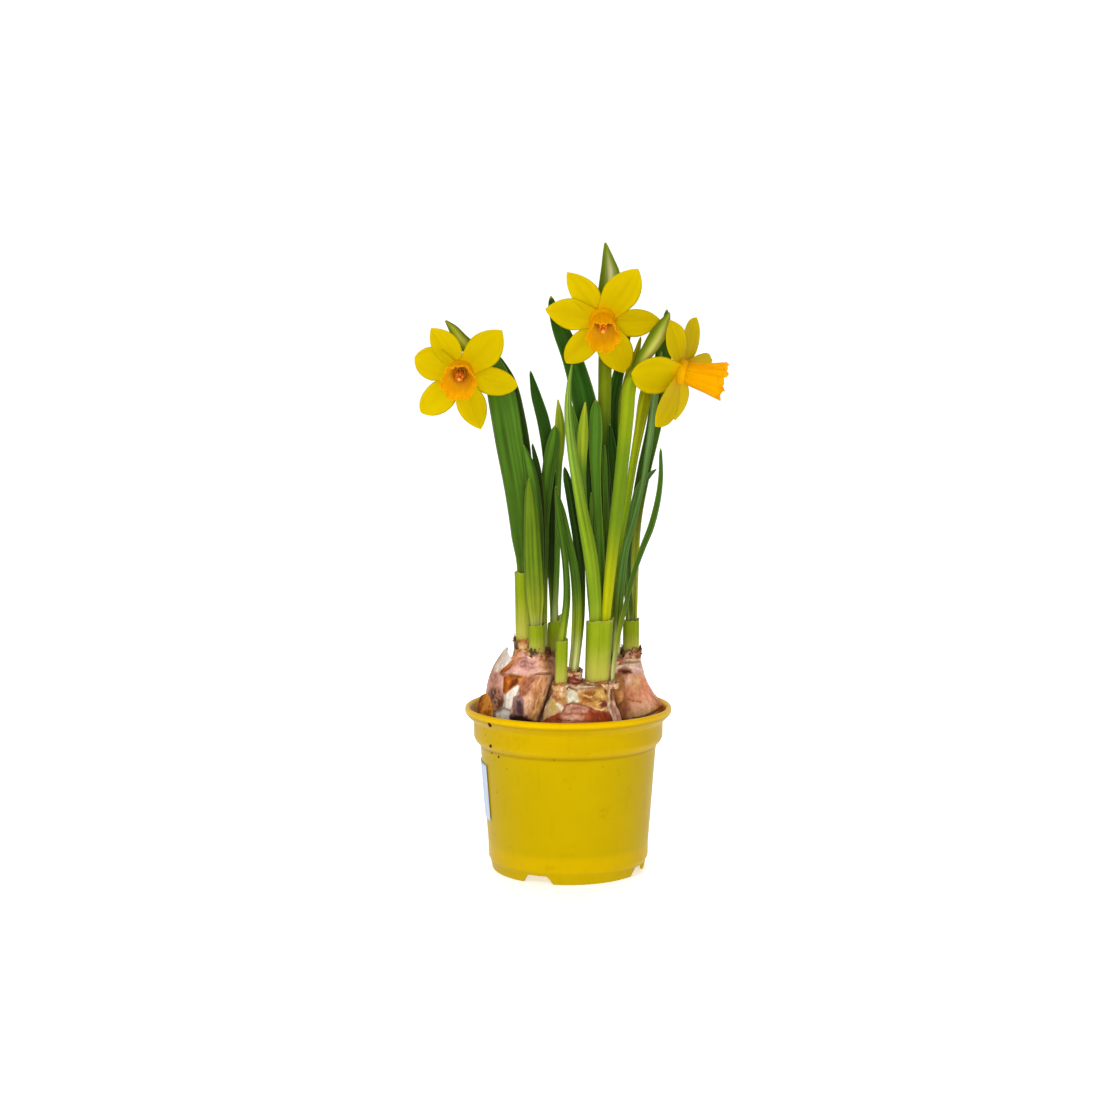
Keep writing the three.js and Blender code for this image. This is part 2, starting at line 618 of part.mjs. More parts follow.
const FLOWERS = {
  left: {
    centre: [-50.4, -20, 240.1],
    yaw: 0,
    pitch: -12.5,
    tepals: [
      [44.9, 28, -2, -10, 1.02, 0], [122.2, 25, 2, -6, 0.95, 0], [162.8, 22.6, -4, -6, 1.02, 0],
      [226.9, 27.7, -4, -6, 0.98, 0], [288.6, 28.7, 2, -8, 0.98, 0], [344.7, 27.6, -4, -6, 0.98, 0],
    ],
    scape: [
      [-20.2, -1.2, 111, 2.2, 1.7], [-21.4, -1.6, 136, 2.4, 1.8], [-24.4, -2, 170, 2.7, 2],
      [-28.9, -2.2, 203, 2.9, 2.1],
      [-33.6, -2.2, 224, 2.9, 2.1], [-37.6, -2.4, 236, 2.9, 2.1], [-42, -2.6, 243.4, 2.6, 2.1],
      [-46.4, -3.2, 245.6, 1.6],
    ],
    spathe: { azimuth: 260, curl: 0.75, points: [
      [-41.4, 1, 247.6, 2.6], [-45.6, 0.6, 250.8, 3.3], [-50, -0.6, 255, 3.5],
      [-54, -2, 260.2, 2.5], [-58.2, -3, 264.6, 0.5],
    ] },
  },
  middle: {
    centre: [15.7, -25, 264.9],
    yaw: 0,
    pitch: -27,
    tepals: [
      [57, 29.5, 0, -6, 1.02, 0], [126, 28.2, 0, -8, 0.92, 0], [171.4, 27, -4, -6, 0.95, 0],
      [233.6, 28.7, -2, -4, 0.92, 0], [290.8, 29.9, 0, -6, 1.02, 0], [353.4, 28, -8, -6, 0.95, 0],
    ],
    scape: [
      [21.8, 1.7, 104, 2.3, 1.7], [19.8, 1.2, 133, 2.6, 1.9], [17.1, -0.4, 180, 2.9, 2.2],
      [16.9, -1, 208, 3, 2.3],
      [17.2, -1, 227, 3, 2.3], [17.4, -1, 248, 3, 2.3], [17.6, -1.6, 260, 2.2, 2],
      [17.2, -4.6, 268.4, 1.5],
    ],
    spathe: { azimuth: 270, curl: 0.6, points: [
      [17.8, 1.7, 255, 2.6], [18.4, 1.6, 266, 4], [19.2, 0.8, 277, 4.6], [19.2, -0.8, 286, 4],
      [17.8, -2.2, 294, 2.2],
      [16.4, -3, 301, 0.4],
    ] },
  },
  right: {
    centre: [51.6, -24, 240.9],
    yaw: 78,
    pitch: -13,
    tepals: [
      [200, 27.5, -45, -20, 1.12, 0], [121, 27.4, -14, -10, 0.98, -38], [62, 29, -1, -4, 0.92, -34],
      [18, 27, 26, -4, 0.9, 0], [300, 27.2, 3, -4, 1, 36], [242, 30.3, 0, -10, 1, 36],
    ],
    scape: [
      [16.2, -24.2, 95, 1.8, 1.6], [16.6, -24.3, 112, 1.9, 1.7], [17.5, -24.5, 124, 2, 1.8],
      [19.2, -25.2, 144, 2.4, 2.1], [20.9, -25, 161, 2.6, 2.2],
      [24.6, -24.6, 194.6, 2.9, 2.3], [27.2, -24, 220, 3, 2.4], [28.4, -23.6, 233, 2.9, 2.3],
      [31.4, -22.8, 242, 1.7],
    ],
    spathe: { azimuth: 80, curl: 0.55, points: [
      [30.4, -27.2, 238, 2.4], [33, -27.2, 245, 2.7], [36.6, -27.2, 250.6, 3.4], [40.6, -27.4, 257, 4],
      [43.8, -27.6, 262.6, 3], [46.5, -27.8, 268, 0.4],
    ] },
  },
};

// The flower's own frame: +X to its right and +Y up as seen from in front, +Z out of the corona.
function flowerFrame({ centre, yaw, pitch }) {
  const out = new THREE.Vector3(
    Math.sin(radians(yaw)) * Math.cos(radians(pitch)),
    -Math.cos(radians(yaw)) * Math.cos(radians(pitch)),
    Math.sin(radians(pitch)),
  );
  const right = new THREE.Vector3(-out.y, out.x, 0).normalize();
  const up = new THREE.Vector3().crossVectors(out, right);
  return new THREE.Matrix4().makeBasis(right, up, out).setPosition(...centre);
}

const TEPAL_OUTLINE = [0.42, 0.82, 1, 0.96, 0.74, 0.4, 0.05];
const TEPAL_ROOT = 3.4;
const INNER_LIFT = 0.7;

// One tepal along the flower's own disc; lean and bend are towards the corona.
function tepal([angle, length, lean, bend, width, twist], lift) {
  const steps = TEPAL_OUTLINE.length - 1;
  const stride = (length - TEPAL_ROOT) / steps;
  const away = new THREE.Vector3(Math.cos(radians(angle)), Math.sin(radians(angle)), 0);
  const across = new THREE.Vector3(-away.y, away.x, 0);
  const centre = away.clone().multiplyScalar(TEPAL_ROOT).setZ(lift);
  const rings = TEPAL_OUTLINE.map((fraction, k) => {
    const slope = radians(lean + bend * (k / steps));
    const heading = away.clone().multiplyScalar(Math.cos(slope)).setZ(Math.sin(slope));
    const turned = across.clone().applyAxisAngle(heading, radians(twist * Math.sqrt(k / steps)));
    const face = new THREE.Vector3().crossVectors(heading, turned);
    if (k > 0) {
      centre.addScaledVector(heading, stride);
    }
    const halfWidth = Math.max(TEPAL_HALF_WIDTH * width * fraction, 0.35);
    return crescent(centre.clone(), turned, face, halfWidth, Math.min(TEPAL_THICKNESS, halfWidth), 0.08);
  });
  return toSolid(loft(rings));
}

const TUBE_PROFILE = [
  [0, -8.2], [2.1, -8.2], [2.6, -4], [3.9, -1.4], [5.6, -0.5], [5.4, 0.9], [4.1, 0.6], [2.9, -2.4],
  [2.4, -5],
  [0, -5.4],
];

// Six tepals in two layers, fused to the tube behind them.
function perianthSolid(flower) {
  const tube = toSolid(lathe(TUBE_PROFILE, 12));
  const tepals = flower.tepals.map((row, k) => tepal(row, k % 2 === 0 ? INNER_LIFT : 0));
  return toGeometry(joined([tube, ...tepals])).applyMatrix4(flowerFrame(flower));
}

const CORONA_BASE = 1.7;
const CORONA_RADII = [5, 6.2, 7.6, 9];
const CORONA_SIDES = 24;
const FRILLS = 8;
const FRILL_DEPTH = 0.8;

// The trumpet: a thin flaring shell, fluted towards its frilled mouth.
function coronaSolid(flower) {
  const last = CORONA_RADII.length - 1;
  const stack = (inset) => CORONA_RADII.map((radius, row) => {
    const t = row / last;
    const ring = [];
    for (let j = 0; j < CORONA_SIDES; j += 1) {
      const a = (2 * Math.PI * j) / CORONA_SIDES;
      const frill = FRILL_DEPTH * t * t * Math.sin(FRILLS * a + 0.4 * Math.sin(3 * a));
      const r = radius - inset + frill;
      const rise = CORONA_BASE + t * CORONA_LENGTH + (row === last ? 0.9 * frill : 0);
      ring.push(new THREE.Vector3(r * Math.cos(a), r * Math.sin(a), rise));
    }
    return ring;
  });
  return shell(stack(0), stack(CORONA_THICKNESS)).applyMatrix4(flowerFrame(flower));
}

// Rows of the stamens: [height, radius over an anther, radius between anthers]
const STAMEN_ROWS = [
  [-4.8, 1.6, 0.6], [1, 1.6, 0.6], [4, 2, 1], [9.5, 2, 1], [10.6, 1, 0.8], [13.4, 0.8, 0.8],
  [14, 1.2, 1.2],
];
const STAMEN_SIDES = 12;

// Six anthers pressed round the style, which stands out past them.
function stamenSolid(flower) {
  const rings = STAMEN_ROWS.map(([z, high, low]) => {
    const ring = [];
    for (let j = 0; j < STAMEN_SIDES; j += 1) {
      const a = (2 * Math.PI * j) / STAMEN_SIDES;
      const r = j % 2 === 0 ? high : low;
      ring.push(new THREE.Vector3(r * Math.cos(a), r * Math.sin(a), z));
    }
    return ring;
  });
  return loft(rings).applyMatrix4(flowerFrame(flower));
}

// Pedicel and ovary behind the flower: [distance behind the centre, radius]
const PEDICEL_AND_OVARY = [[18.5, 1.4], [15.5, 1.5], [13.6, 2.5], [11, 2.7], [8.6, 2]];
const SCAPE_STATIONS = 20;

// The scape runs on into the pedicel and the swollen ovary behind the flower's tube.
function scapeSolid(flower) {
  const frame = flowerFrame(flower);
  const behind = PEDICEL_AND_OVARY.map(([distance, radius]) => (
    [...new THREE.Vector3(0, 0, -distance).applyMatrix4(frame).toArray(), radius]
  ));
  return stem([...flower.scape, ...behind], SCAPE_STATIONS);
}

// The scene graph

const group = new THREE.Group();

function place(name, slot, geometry) {
  const { color, roughness } = FINISHES[slot];
  const mesh = new THREE.Mesh(geometry, new THREE.MeshStandardMaterial({ color, roughness, metalness: 0 }));
  mesh.name = name;
  group.add(mesh);
}

place('pot', 'pot_plastic', potSolid());
place('label', 'label_paper', labelSolid());
place('compost', 'compost', compostSolid());
for (const name of Object.keys(BULBS)) {
  place(`bulb_${name}`, 'bulb_tunic', bulbSolid(name));
}
for (const [name, nose] of Object.entries(NOSES)) {
  if (nose.rim) {
    place(`sheath_${name}`, 'sheath', sheathSolid(nose));
  }
}
for (const [name, leaf] of Object.entries(LEAVES)) {
  place(name, 'leaf', blade(leaf.points, leaf));
}
for (const [name, points] of Object.entries(BUDS)) {
  place(name, 'bud', stem(points, BUD_STATIONS));
}
for (const [name, flower] of Object.entries(FLOWERS)) {
  place(`scape_${name}`, 'scape', scapeSolid(flower));
  place(`spathe_${name}`, 'spathe', blade(flower.spathe.points, flower.spathe));
  place(`perianth_${name}`, 'tepal', perianthSolid(flower));
  place(`corona_${name}`, 'corona', coronaSolid(flower));
  place(`stamens_${name}`, 'stamen', stamenSolid(flower));
}

export default group;
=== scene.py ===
"""Looks for the potted dwarf daffodil: each CAD node is replaced by a detailed piece of the same shape.

Lengths are in millimetres until a mesh is made. The plant's front faces -Y and the pot stands on z = 0.
"""

import itertools
import math

import bpy
import numpy as np
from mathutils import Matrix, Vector


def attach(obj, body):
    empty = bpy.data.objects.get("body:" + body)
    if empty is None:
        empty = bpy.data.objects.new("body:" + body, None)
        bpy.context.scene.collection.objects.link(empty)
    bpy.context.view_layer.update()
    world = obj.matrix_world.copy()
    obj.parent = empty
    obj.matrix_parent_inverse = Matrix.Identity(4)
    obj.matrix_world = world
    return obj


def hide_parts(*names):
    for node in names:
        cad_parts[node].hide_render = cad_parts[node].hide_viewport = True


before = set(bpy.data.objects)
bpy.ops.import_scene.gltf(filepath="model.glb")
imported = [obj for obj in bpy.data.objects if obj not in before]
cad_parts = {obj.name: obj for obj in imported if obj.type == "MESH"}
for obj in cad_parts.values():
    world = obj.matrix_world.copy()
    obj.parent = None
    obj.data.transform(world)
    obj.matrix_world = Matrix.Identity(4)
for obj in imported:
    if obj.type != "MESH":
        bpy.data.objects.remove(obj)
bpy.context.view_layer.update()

# Shape tables, the same as in the part's source

# The pot's profile: [radius, height]
RIM_RADIUS = 50
FOOT_INSIDE = 35.6
FLOOR_TOP = 6.2
FLOOR_BOTTOM = 5.2

POT_OUTSIDE = [
    [36.9, 0], [37.5, 2.5], [37.9, 4.8], [38.8, 6.2], [38.9, 13], [42.44, 59.4], [42.9, 61.2],
    [44.8, 63], [45.7, 65], [45.8, 72.6], [47.7, 74.3], [49.5, 76.1], [RIM_RADIUS, 77.4], [49.8, 79.1],
    [48.8, 79.8],
]
POT_INSIDE = [
    [47.7, 79], [44.8, 73.2], [44.7, 65.6], [43.9, 64.1], [41.8, 62], [41.4, 59.6], [37.7, 10],
    [36.8, FLOOR_TOP],
]

# The sticker's azimuths and heights
LABEL = {"from": 158, "to": 200, "low": 26, "high": 53}

# Where shoots leave the bulbs: middle, half widths and height. Those with a sheath also have its rim's
# height, how far that leans and flares, and how much it tilts
NOSES = {
    "left_a": {
        "x": -20.3, "y": -1, "rx": 4.9, "ry": 6.7, "base": 110.4,
        "rim": 144.8, "lean": [-0.6, 0], "flare": 0, "tilt": 0.4,
    },
    "left_b": {
        "x": -15, "y": -11.7, "rx": 3.9, "ry": 4.5, "base": 106.2,
        "rim": 120.5, "lean": [0, 0], "flare": 0, "tilt": 0.3,
    },
    "left_c": {
        "x": -7.2, "y": -1.6, "rx": 3.2, "ry": 3.8, "base": 104.4,
        "rim": 121, "lean": [0.6, 0.8], "flare": 0, "tilt": 2.2,
    },
    "left_d": {"x": -11.5, "y": -5.2, "rx": 1.9, "ry": 1.3, "base": 104.6},
    "front_a": {
        "x": -3.6, "y": -28.1, "rx": 2.8, "ry": 3, "base": 94.2,
        "rim": 115.3, "lean": [0.5, -0.2], "flare": 0, "tilt": 0.6,
    },
    "front_b": {"x": 2.4, "y": -21.9, "rx": 3, "ry": 4.4, "base": 99.4},
    "front_c": {
        "x": 13.4, "y": -22.4, "rx": 5.7, "ry": 5.9, "base": 94.2,
        "rim": 124.4, "lean": [1.4, 0], "flare": 0.6, "tilt": 0.8,
    },
    "front_d": {"x": 20.9, "y": -24.6, "rx": 1.7, "ry": 1.6, "base": 94.4},
    "right_a": {
        "x": 30.6, "y": 8, "rx": 3.9, "ry": 4.4, "base": 104,
        "rim": 120, "lean": [0, 0], "flare": 0, "tilt": 0.5,
    },
    "right_b": {"x": 22.4, "y": -0.4, "rx": 3.4, "ry": 8.9, "base": 103},
}

# Bulbs: the axis at the foot and at the head, and rows [height, radius]
BULBS = {
    "left": {
        "foot": [-23.2, -2], "head": [-17.5, -4.5], "rows": [
            [56, 5], [58.5, 10.5], [64, 15], [72, 17], [80, 17.3], [88, 16.6], [95, 14.6], [100, 11.8],
            [103.6, 8],
        ], "noses": ["left_a", "left_b", "left_c", "left_d"],
    },
    "front": {
        "foot": [6.1, -24.6], "head": [7.6, -24], "rows": [
            [52, 5], [54.5, 10.5], [60, 15.2], [68, 18], [76, 18.6], [83, 17.6], [89, 14.6],
            [92.5, 11.4], [94.4, 8],
        ], "noses": ["front_a", "front_b", "front_c", "front_d"],
    },
    "right": {
        "foot": [27, 5.5], "head": [28.4, 5.5], "rows": [
            [55, 5], [57.5, 10], [62, 13.6], [68, 15.8], [74, 16.7], [79, 16.2], [84, 14], [89, 11],
            [95, 8.6], [100, 7],
        ], "noses": ["right_a", "right_b"],
    },
}

# Leaves: the way the face looks, and points [x, y, z, half width]
LEAVES = {
    "leaf_left_1": {"azimuth": 90, "points": [
        [-20.3, -4.6, 111, 2.8], [-20.6, -4.7, 131.6, 3], [-21, -4.8, 147, 3.2], [-21.8, -6.2, 162, 5.2],
        [-24.2, -7.2, 184, 6.2], [-28.2, -8.2, 208, 6.8], [-31.2, -9, 227, 6.8], [-34, -10, 240, 5.4],
        [-35.6, -10.4, 250, 1.2],
    ]},
    "leaf_left_2": {"azimuth": 270, "points": [
        [-19.9, 2.9, 111, 2.9], [-20.7, 2.9, 144, 2.9], [-21.6, 3.6, 170, 4.8], [-23, 4, 200, 5.2],
        [-26, 4.2, 219, 5.2], [-29.5, 4.2, 234, 4.8], [-34.5, 4, 245, 3.2], [-38, 3.6, 250.5, 0.8],
    ]},
    "leaf_left_3": {"azimuth": 90, "points": [
        [-15.1, -13.6, 107, 2.3], [-15.3, -13.6, 121, 2.5], [-15.8, -13.3, 134, 3.9],
        [-16.8, -13.6, 151, 4.2], [-17.5, -13.8, 172, 3.5], [-18.3, -13.9, 184, 2.2],
        [-18.7, -13.9, 190.5, 0.6],
    ]},
    "leaf_left_4": {"azimuth": 90, "points": [
        [-15.1, -11.4, 107, 2.2], [-14.9, -11.3, 123, 2.3], [-14.5, -9.9, 150, 2.8],
        [-15.2, -9.2, 172, 3], [-17.2, -8.8, 188, 3.2], [-19.4, -8.6, 199, 2.2], [-21.3, -8.4, 206, 0.5],
    ]},
    "leaf_left_5": {"azimuth": 270, "points": [
        [-15, -9.2, 107, 2.1], [-14.6, -8.9, 124, 2.1], [-13.3, -6.8, 150, 2.2], [-13.4, -5.8, 175, 2.2],
        [-14.8, -5.2, 194, 1.8], [-17.2, -4.8, 206.5, 0.5],
    ]},
    "leaf_left_6": {"azimuth": 90, "points": [
        [-11.5, -5.2, 105.2, 1.4], [-11.8, -4.2, 122, 1.5], [-11.6, -3, 146, 1.7],
        [-11.3, -2.4, 170, 2.2], [-10.2, -2.2, 187, 3], [-7.8, -2.2, 203, 3.4], [-6.6, -2.4, 211, 2.2],
        [-6.4, -2.4, 215, 0.6],
    ]},
    "leaf_left_7": {"azimuth": 270, "points": [
        [-7.2, 0.2, 105, 1.8], [-6.8, 0.9, 124, 1.8], [-7.8, 4, 150, 2.4], [-8.4, 6.4, 178, 2.6],
        [-9.8, 6.8, 203, 3], [-12.1, 7, 217, 3], [-15.5, 7.2, 229, 2.4], [-18.3, 7.4, 240.8, 0.5],
    ]},
    "leaf_front_1": {"azimuth": 90, "points": [
        [-3.6, -28.1, 95, 1.7], [-3, -28.3, 115.3, 1.7], [-0.8, -28.2, 134.4, 1.6],
        [-1.2, -29, 148.5, 1.5], [-2.9, -29.6, 162.7, 1.4], [-5, -30, 176.8, 1.3], [-6.1, -30, 188, 0.5],
    ]},
    "leaf_front_2": {"azimuth": 90, "points": [
        [2.2, -24.5, 100, 1.7], [3.6, -25, 115, 2.1], [3.9, -25.4, 134, 2.1], [2.4, -25.8, 150, 2],
        [-0.4, -26, 163, 1.9], [-3, -26, 175, 1.7], [-4.9, -26, 184, 0.5],
    ]},
    "leaf_front_3": {"azimuth": 90, "points": [
        [2.4, -22, 100, 2.1], [4.4, -21.8, 120, 2.3], [5.2, -21.6, 142, 2.2], [4.2, -21.4, 161, 2.1],
        [2, -21.2, 175, 2], [-0.6, -20.8, 190, 1.8], [-2, -20.6, 196.5, 0.5],
    ]},
    "leaf_front_4": {"azimuth": 270, "points": [
        [2.8, -19.3, 100, 1.8], [5, -17.4, 125, 2.4], [5.2, -14.6, 150, 2.6], [4.4, -13, 175, 2.8],
        [3.8, -12.2, 194, 2.9], [2.8, -11.2, 213, 2.7], [1.4, -11, 225, 0.6],
    ]},
    "leaf_front_5": {"azimuth": 90, "points": [
        [12, -25.2, 95, 2], [12.3, -25.2, 112, 2.3], [12.7, -25.8, 131.9, 2.7], [10.6, -26.6, 153, 3.3],
        [6, -26.2, 177.7, 2.8], [1.9, -25.2, 202.8, 2.4], [-0.1, -24.6, 222, 1.9],
        [0.2, -24.2, 234, 1.2], [1.6, -24, 244.4, 0.4],
    ]},
    "leaf_front_6": {"azimuth": 270, "points": [
        [14, -20.5, 95, 2.1], [14.6, -20.3, 112, 2.2], [15, -19.8, 128, 2.3], [14.4, -17.4, 161, 2.2],
        [13.2, -14.4, 185, 2.2], [12.6, -13.8, 200, 2.8], [12.6, -13.6, 212, 3.4],
        [12.8, -13.4, 222, 2.6], [12.9, -13.2, 227.5, 0.8],
    ]},
    "leaf_front_7": {"azimuth": 270, "points": [
        [13.4, -18.8, 95, 2.4], [13.8, -18.7, 112, 2.5], [14, -18.5, 128, 2.6], [12.6, -13.4, 160, 4.4],
        [11, -9.6, 198, 5.2], [8.4, -7.6, 222, 5.8], [2.1, -6.2, 246, 4.9], [-3.5, -5.8, 260, 4],
        [-7.4, -5.4, 271, 2.2], [-8.4, -5.4, 276, 0.7],
    ]},
    "leaf_front_8": {"azimuth": 90, "curl": 0.1, "points": [
        [13.2, -22.6, 95, 0.9], [13.4, -22.8, 120, 1], [12.3, -23, 143, 1.1], [10.5, -22.8, 166, 1.1],
        [10.5, -22.6, 178, 0.9], [10.6, -22.4, 184.5, 0.4],
    ]},
    "leaf_front_9": {"azimuth": 140, "points": [
        [20.9, -24.6, 95, 1.3], [21.8, -23.6, 105, 1.4], [24, -22.4, 118, 1.6], [27, -21.6, 130, 1.7],
        [30.4, -21, 144, 1.8], [35.2, -20.2, 158, 2], [39.2, -19.2, 168, 2.1], [42.4, -18.4, 181, 2],
        [43.6, -18, 192, 1.8], [43.4, -18, 201, 1.3], [43.2, -18, 205, 0.5],
    ]},
    "leaf_right_1": {"azimuth": 90, "points": [
        [20.9, -3.6, 104, 1.5], [20.4, -4.4, 131, 1.7], [18.4, -6.8, 160, 1.6], [17.2, -9, 184, 1.6],
        [17, -9.8, 199, 1.3], [17, -10.2, 206, 0.5],
    ]},
    "leaf_right_2": {"azimuth": 90, "points": [
        [22.8, -1.7, 104, 2], [23.1, -2.8, 135, 2.2], [23.3, -4.6, 170, 2.4], [22.4, -5.8, 189, 2.4],
        [20.9, -6.6, 203, 2.2], [19.6, -7, 216, 0.5],
    ]},
    "leaf_right_3": {"azimuth": 270, "points": [
        [22.6, 5, 104, 2.1], [21.8, 4.8, 140, 2.4], [21.2, 4.6, 179, 2.8], [20.9, 4.4, 208, 3],
        [21.6, 4.4, 227, 3], [24.4, 4.4, 241, 2.6], [27.6, 4.4, 252, 1.6], [29.4, 4.4, 260, 0.5],
    ]},
    "leaf_right_4": {"azimuth": 270, "points": [
        [22.9, 7.3, 104, 1.6], [23.6, 7.8, 140, 2.4], [23.9, 8.2, 179, 2.6], [24.6, 8.2, 207, 2.6],
        [26.4, 8.6, 224, 2.6], [29.6, 8.8, 239, 2.4], [33, 9, 250, 1.5], [34.8, 9.2, 257, 0.5],
    ]},
    "leaf_right_5": {"azimuth": 90, "points": [
        [22.6, -5.5, 104, 1.9], [23.2, -5.7, 131, 2], [24.8, -6, 158, 1.8], [27.6, -6.4, 176, 1.7],
        [31, -6.6, 198, 1.9], [33.7, -6.6, 213, 2.4], [36.2, -6.6, 227, 3.1], [39, -6.6, 240, 2.6],
        [40.6, -6.6, 247, 0.6],
    ]},
    "leaf_right_6": {"azimuth": 90, "points": [
        [22.6, -7.6, 104, 1.4], [24.2, -8.8, 129, 1.8], [27, -10.4, 155, 1.7], [31.4, -11.2, 172, 1.4],
        [35.2, -11.4, 188, 1.3], [37.8, -11.6, 204, 1.6], [40.6, -11.8, 227, 1.6], [42.8, -12, 243, 1.2],
        [43.8, -12.2, 250, 0.4],
    ]},
    "leaf_right_7": {"azimuth": 270, "points": [
        [30.8, 9.7, 105, 2.3], [30.9, 9.9, 122, 2.4], [31, 10.4, 142, 2.9], [32.6, 10.8, 168, 2.9],
        [36.6, 11, 192, 3.3], [41.2, 11, 213, 3.6], [44.2, 11, 231, 4.2], [45.6, 11, 248, 4],
        [46.6, 11, 260, 2.9], [47.3, 11, 270, 0.7],
    ]},
    "leaf_right_8": {"azimuth": 270, "points": [
        [30, 6.7, 105, 1.8], [29.9, 6.6, 121, 1.8], [28.4, 4.6, 145, 1.9], [29.2, 3.6, 160, 1.9],
        [31.6, 3.2, 176, 1.9], [34.4, 3, 185, 1.8], [38.6, 3, 190.6, 1.3], [42.4, 3, 193.8, 0.4],
    ]},
}

# Buds on their stems: [x, y, z, radius]
BUDS = {
    "bud_left": [
        [-7.1, -2.4, 105, 1.2], [-6.4, -1.4, 125, 1.3], [-5.4, 1, 150, 1.3], [-5, 2.6, 178.9, 1.3],
        [-4.5, 3.2, 196, 1.5], [-4.2, 3.2, 203, 2.1], [-4, 3.2, 212, 2.4], [-4.4, 3.2, 220, 1.7],
        [-5, 3.2, 227, 0.3],
    ],
    "bud_front": [
        [10.4, -22.2, 95, 1.1], [11.2, -21.8, 118, 1.1], [9.6, -20.2, 143, 1.3], [8.5, -18.8, 166, 1.3],
        [6.9, -17.6, 188, 1.4], [6.4, -17.4, 198, 2], [6.6, -17.4, 210, 2.5], [7.2, -17.4, 219, 1.7],
        [7.8, -17.4, 226.4, 0.3],
    ],
}

# Blooms: tepals [angle, length, lean, bend, width, twist], scapes [x, y, z, radius] or with a second
# radius fore and aft, and spathes as leaves
FLOWERS = {
    "left": {
        "centre": [-50.4, -20, 240.1], "yaw": 0, "pitch": -12.5,
        "tepals": [
            [44.9, 28, -2, -10, 1.02, 0], [122.2, 25, 2, -6, 0.95, 0], [162.8, 22.6, -4, -6, 1.02, 0],
            [226.9, 27.7, -4, -6, 0.98, 0], [288.6, 28.7, 2, -8, 0.98, 0],
            [344.7, 27.6, -4, -6, 0.98, 0],
        ],
        "scape": [
            [-20.2, -1.2, 111, 2.2, 1.7], [-21.4, -1.6, 136, 2.4, 1.8], [-24.4, -2, 170, 2.7, 2],
            [-28.9, -2.2, 203, 2.9, 2.1], [-33.6, -2.2, 224, 2.9, 2.1], [-37.6, -2.4, 236, 2.9, 2.1],
            [-42, -2.6, 243.4, 2.6, 2.1], [-46.4, -3.2, 245.6, 1.6],
        ],
        "spathe": {"azimuth": 260, "curl": 0.75, "points": [
            [-41.4, 1, 247.6, 2.6], [-45.6, 0.6, 250.8, 3.3], [-50, -0.6, 255, 3.5],
            [-54, -2, 260.2, 2.5], [-58.2, -3, 264.6, 0.5],
        ]},
    },
    "middle": {
        "centre": [15.7, -25, 264.9], "yaw": 0, "pitch": -27,
        "tepals": [
            [57, 29.5, 0, -6, 1.02, 0], [126, 28.2, 0, -8, 0.92, 0], [171.4, 27, -4, -6, 0.95, 0],
            [233.6, 28.7, -2, -4, 0.92, 0], [290.8, 29.9, 0, -6, 1.02, 0], [353.4, 28, -8, -6, 0.95, 0],
        ],
        "scape": [
            [21.8, 1.7, 104, 2.3, 1.7], [19.8, 1.2, 133, 2.6, 1.9], [17.1, -0.4, 180, 2.9, 2.2],
            [16.9, -1, 208, 3, 2.3], [17.2, -1, 227, 3, 2.3], [17.4, -1, 248, 3, 2.3],
            [17.6, -1.6, 260, 2.2, 2], [17.2, -4.6, 268.4, 1.5],
        ],
        "spathe": {"azimuth": 270, "curl": 0.6, "points": [
            [17.8, 1.7, 255, 2.6], [18.4, 1.6, 266, 4], [19.2, 0.8, 277, 4.6], [19.2, -0.8, 286, 4],
            [17.8, -2.2, 294, 2.2], [16.4, -3, 301, 0.4],
        ]},
    },
    "right": {
        "centre": [51.6, -24, 240.9], "yaw": 78, "pitch": -13,
        "tepals": [
            [200, 27.5, -45, -20, 1.12, 0], [121, 27.4, -14, -10, 0.98, -38],
            [62, 29, -1, -4, 0.92, -34], [18, 27, 26, -4, 0.9, 0], [300, 27.2, 3, -4, 1, 36],
            [242, 30.3, 0, -10, 1, 36],
        ],
        "scape": [
            [16.2, -24.2, 95, 1.8, 1.6], [16.6, -24.3, 112, 1.9, 1.7], [17.5, -24.5, 124, 2, 1.8],
            [19.2, -25.2, 144, 2.4, 2.1], [20.9, -25, 161, 2.6, 2.2], [24.6, -24.6, 194.6, 2.9, 2.3],
            [27.2, -24, 220, 3, 2.4], [28.4, -23.6, 233, 2.9, 2.3], [31.4, -22.8, 242, 1.7],
        ],
        "spathe": {"azimuth": 80, "curl": 0.55, "points": [
            [30.4, -27.2, 238, 2.4], [33, -27.2, 245, 2.7], [36.6, -27.2, 250.6, 3.4],
            [40.6, -27.4, 257, 4], [43.8, -27.6, 262.6, 3], [46.5, -27.8, 268, 0.4],
        ]},
    },
}

# Behind each bloom: [distance from its centre, radius]
PEDICEL_AND_OVARY = [[18.5, 1.4], [15.5, 1.5], [13.6, 2.5], [11, 2.7], [8.6, 2]]
CORONA_LENGTH = 19.5
CORONA_BASE = 1.7


# Numbers and colours

def smooth(low, high, x):
    """0 at low, 1 at high, easing in and out."""
    t = np.clip((x - low) / (high - low), 0, 1)
    return t * t * (3 - 2 * t)


def blend(a, b, share):
    """Colour a moved towards colour b by share, per point."""
    share = np.asarray(share, float)[..., None]
    return np.asarray(a, float) * (1 - share) + np.asarray(b, float) * share


def rgb(r, g, b):
    """A colour stated as screen values 0..255, as linear light."""
    c = np.array([r, g, b], float) / 255
    return np.where(c <= 0.04045, c / 12.92, ((c + 0.055) / 1.055) ** 2.4)


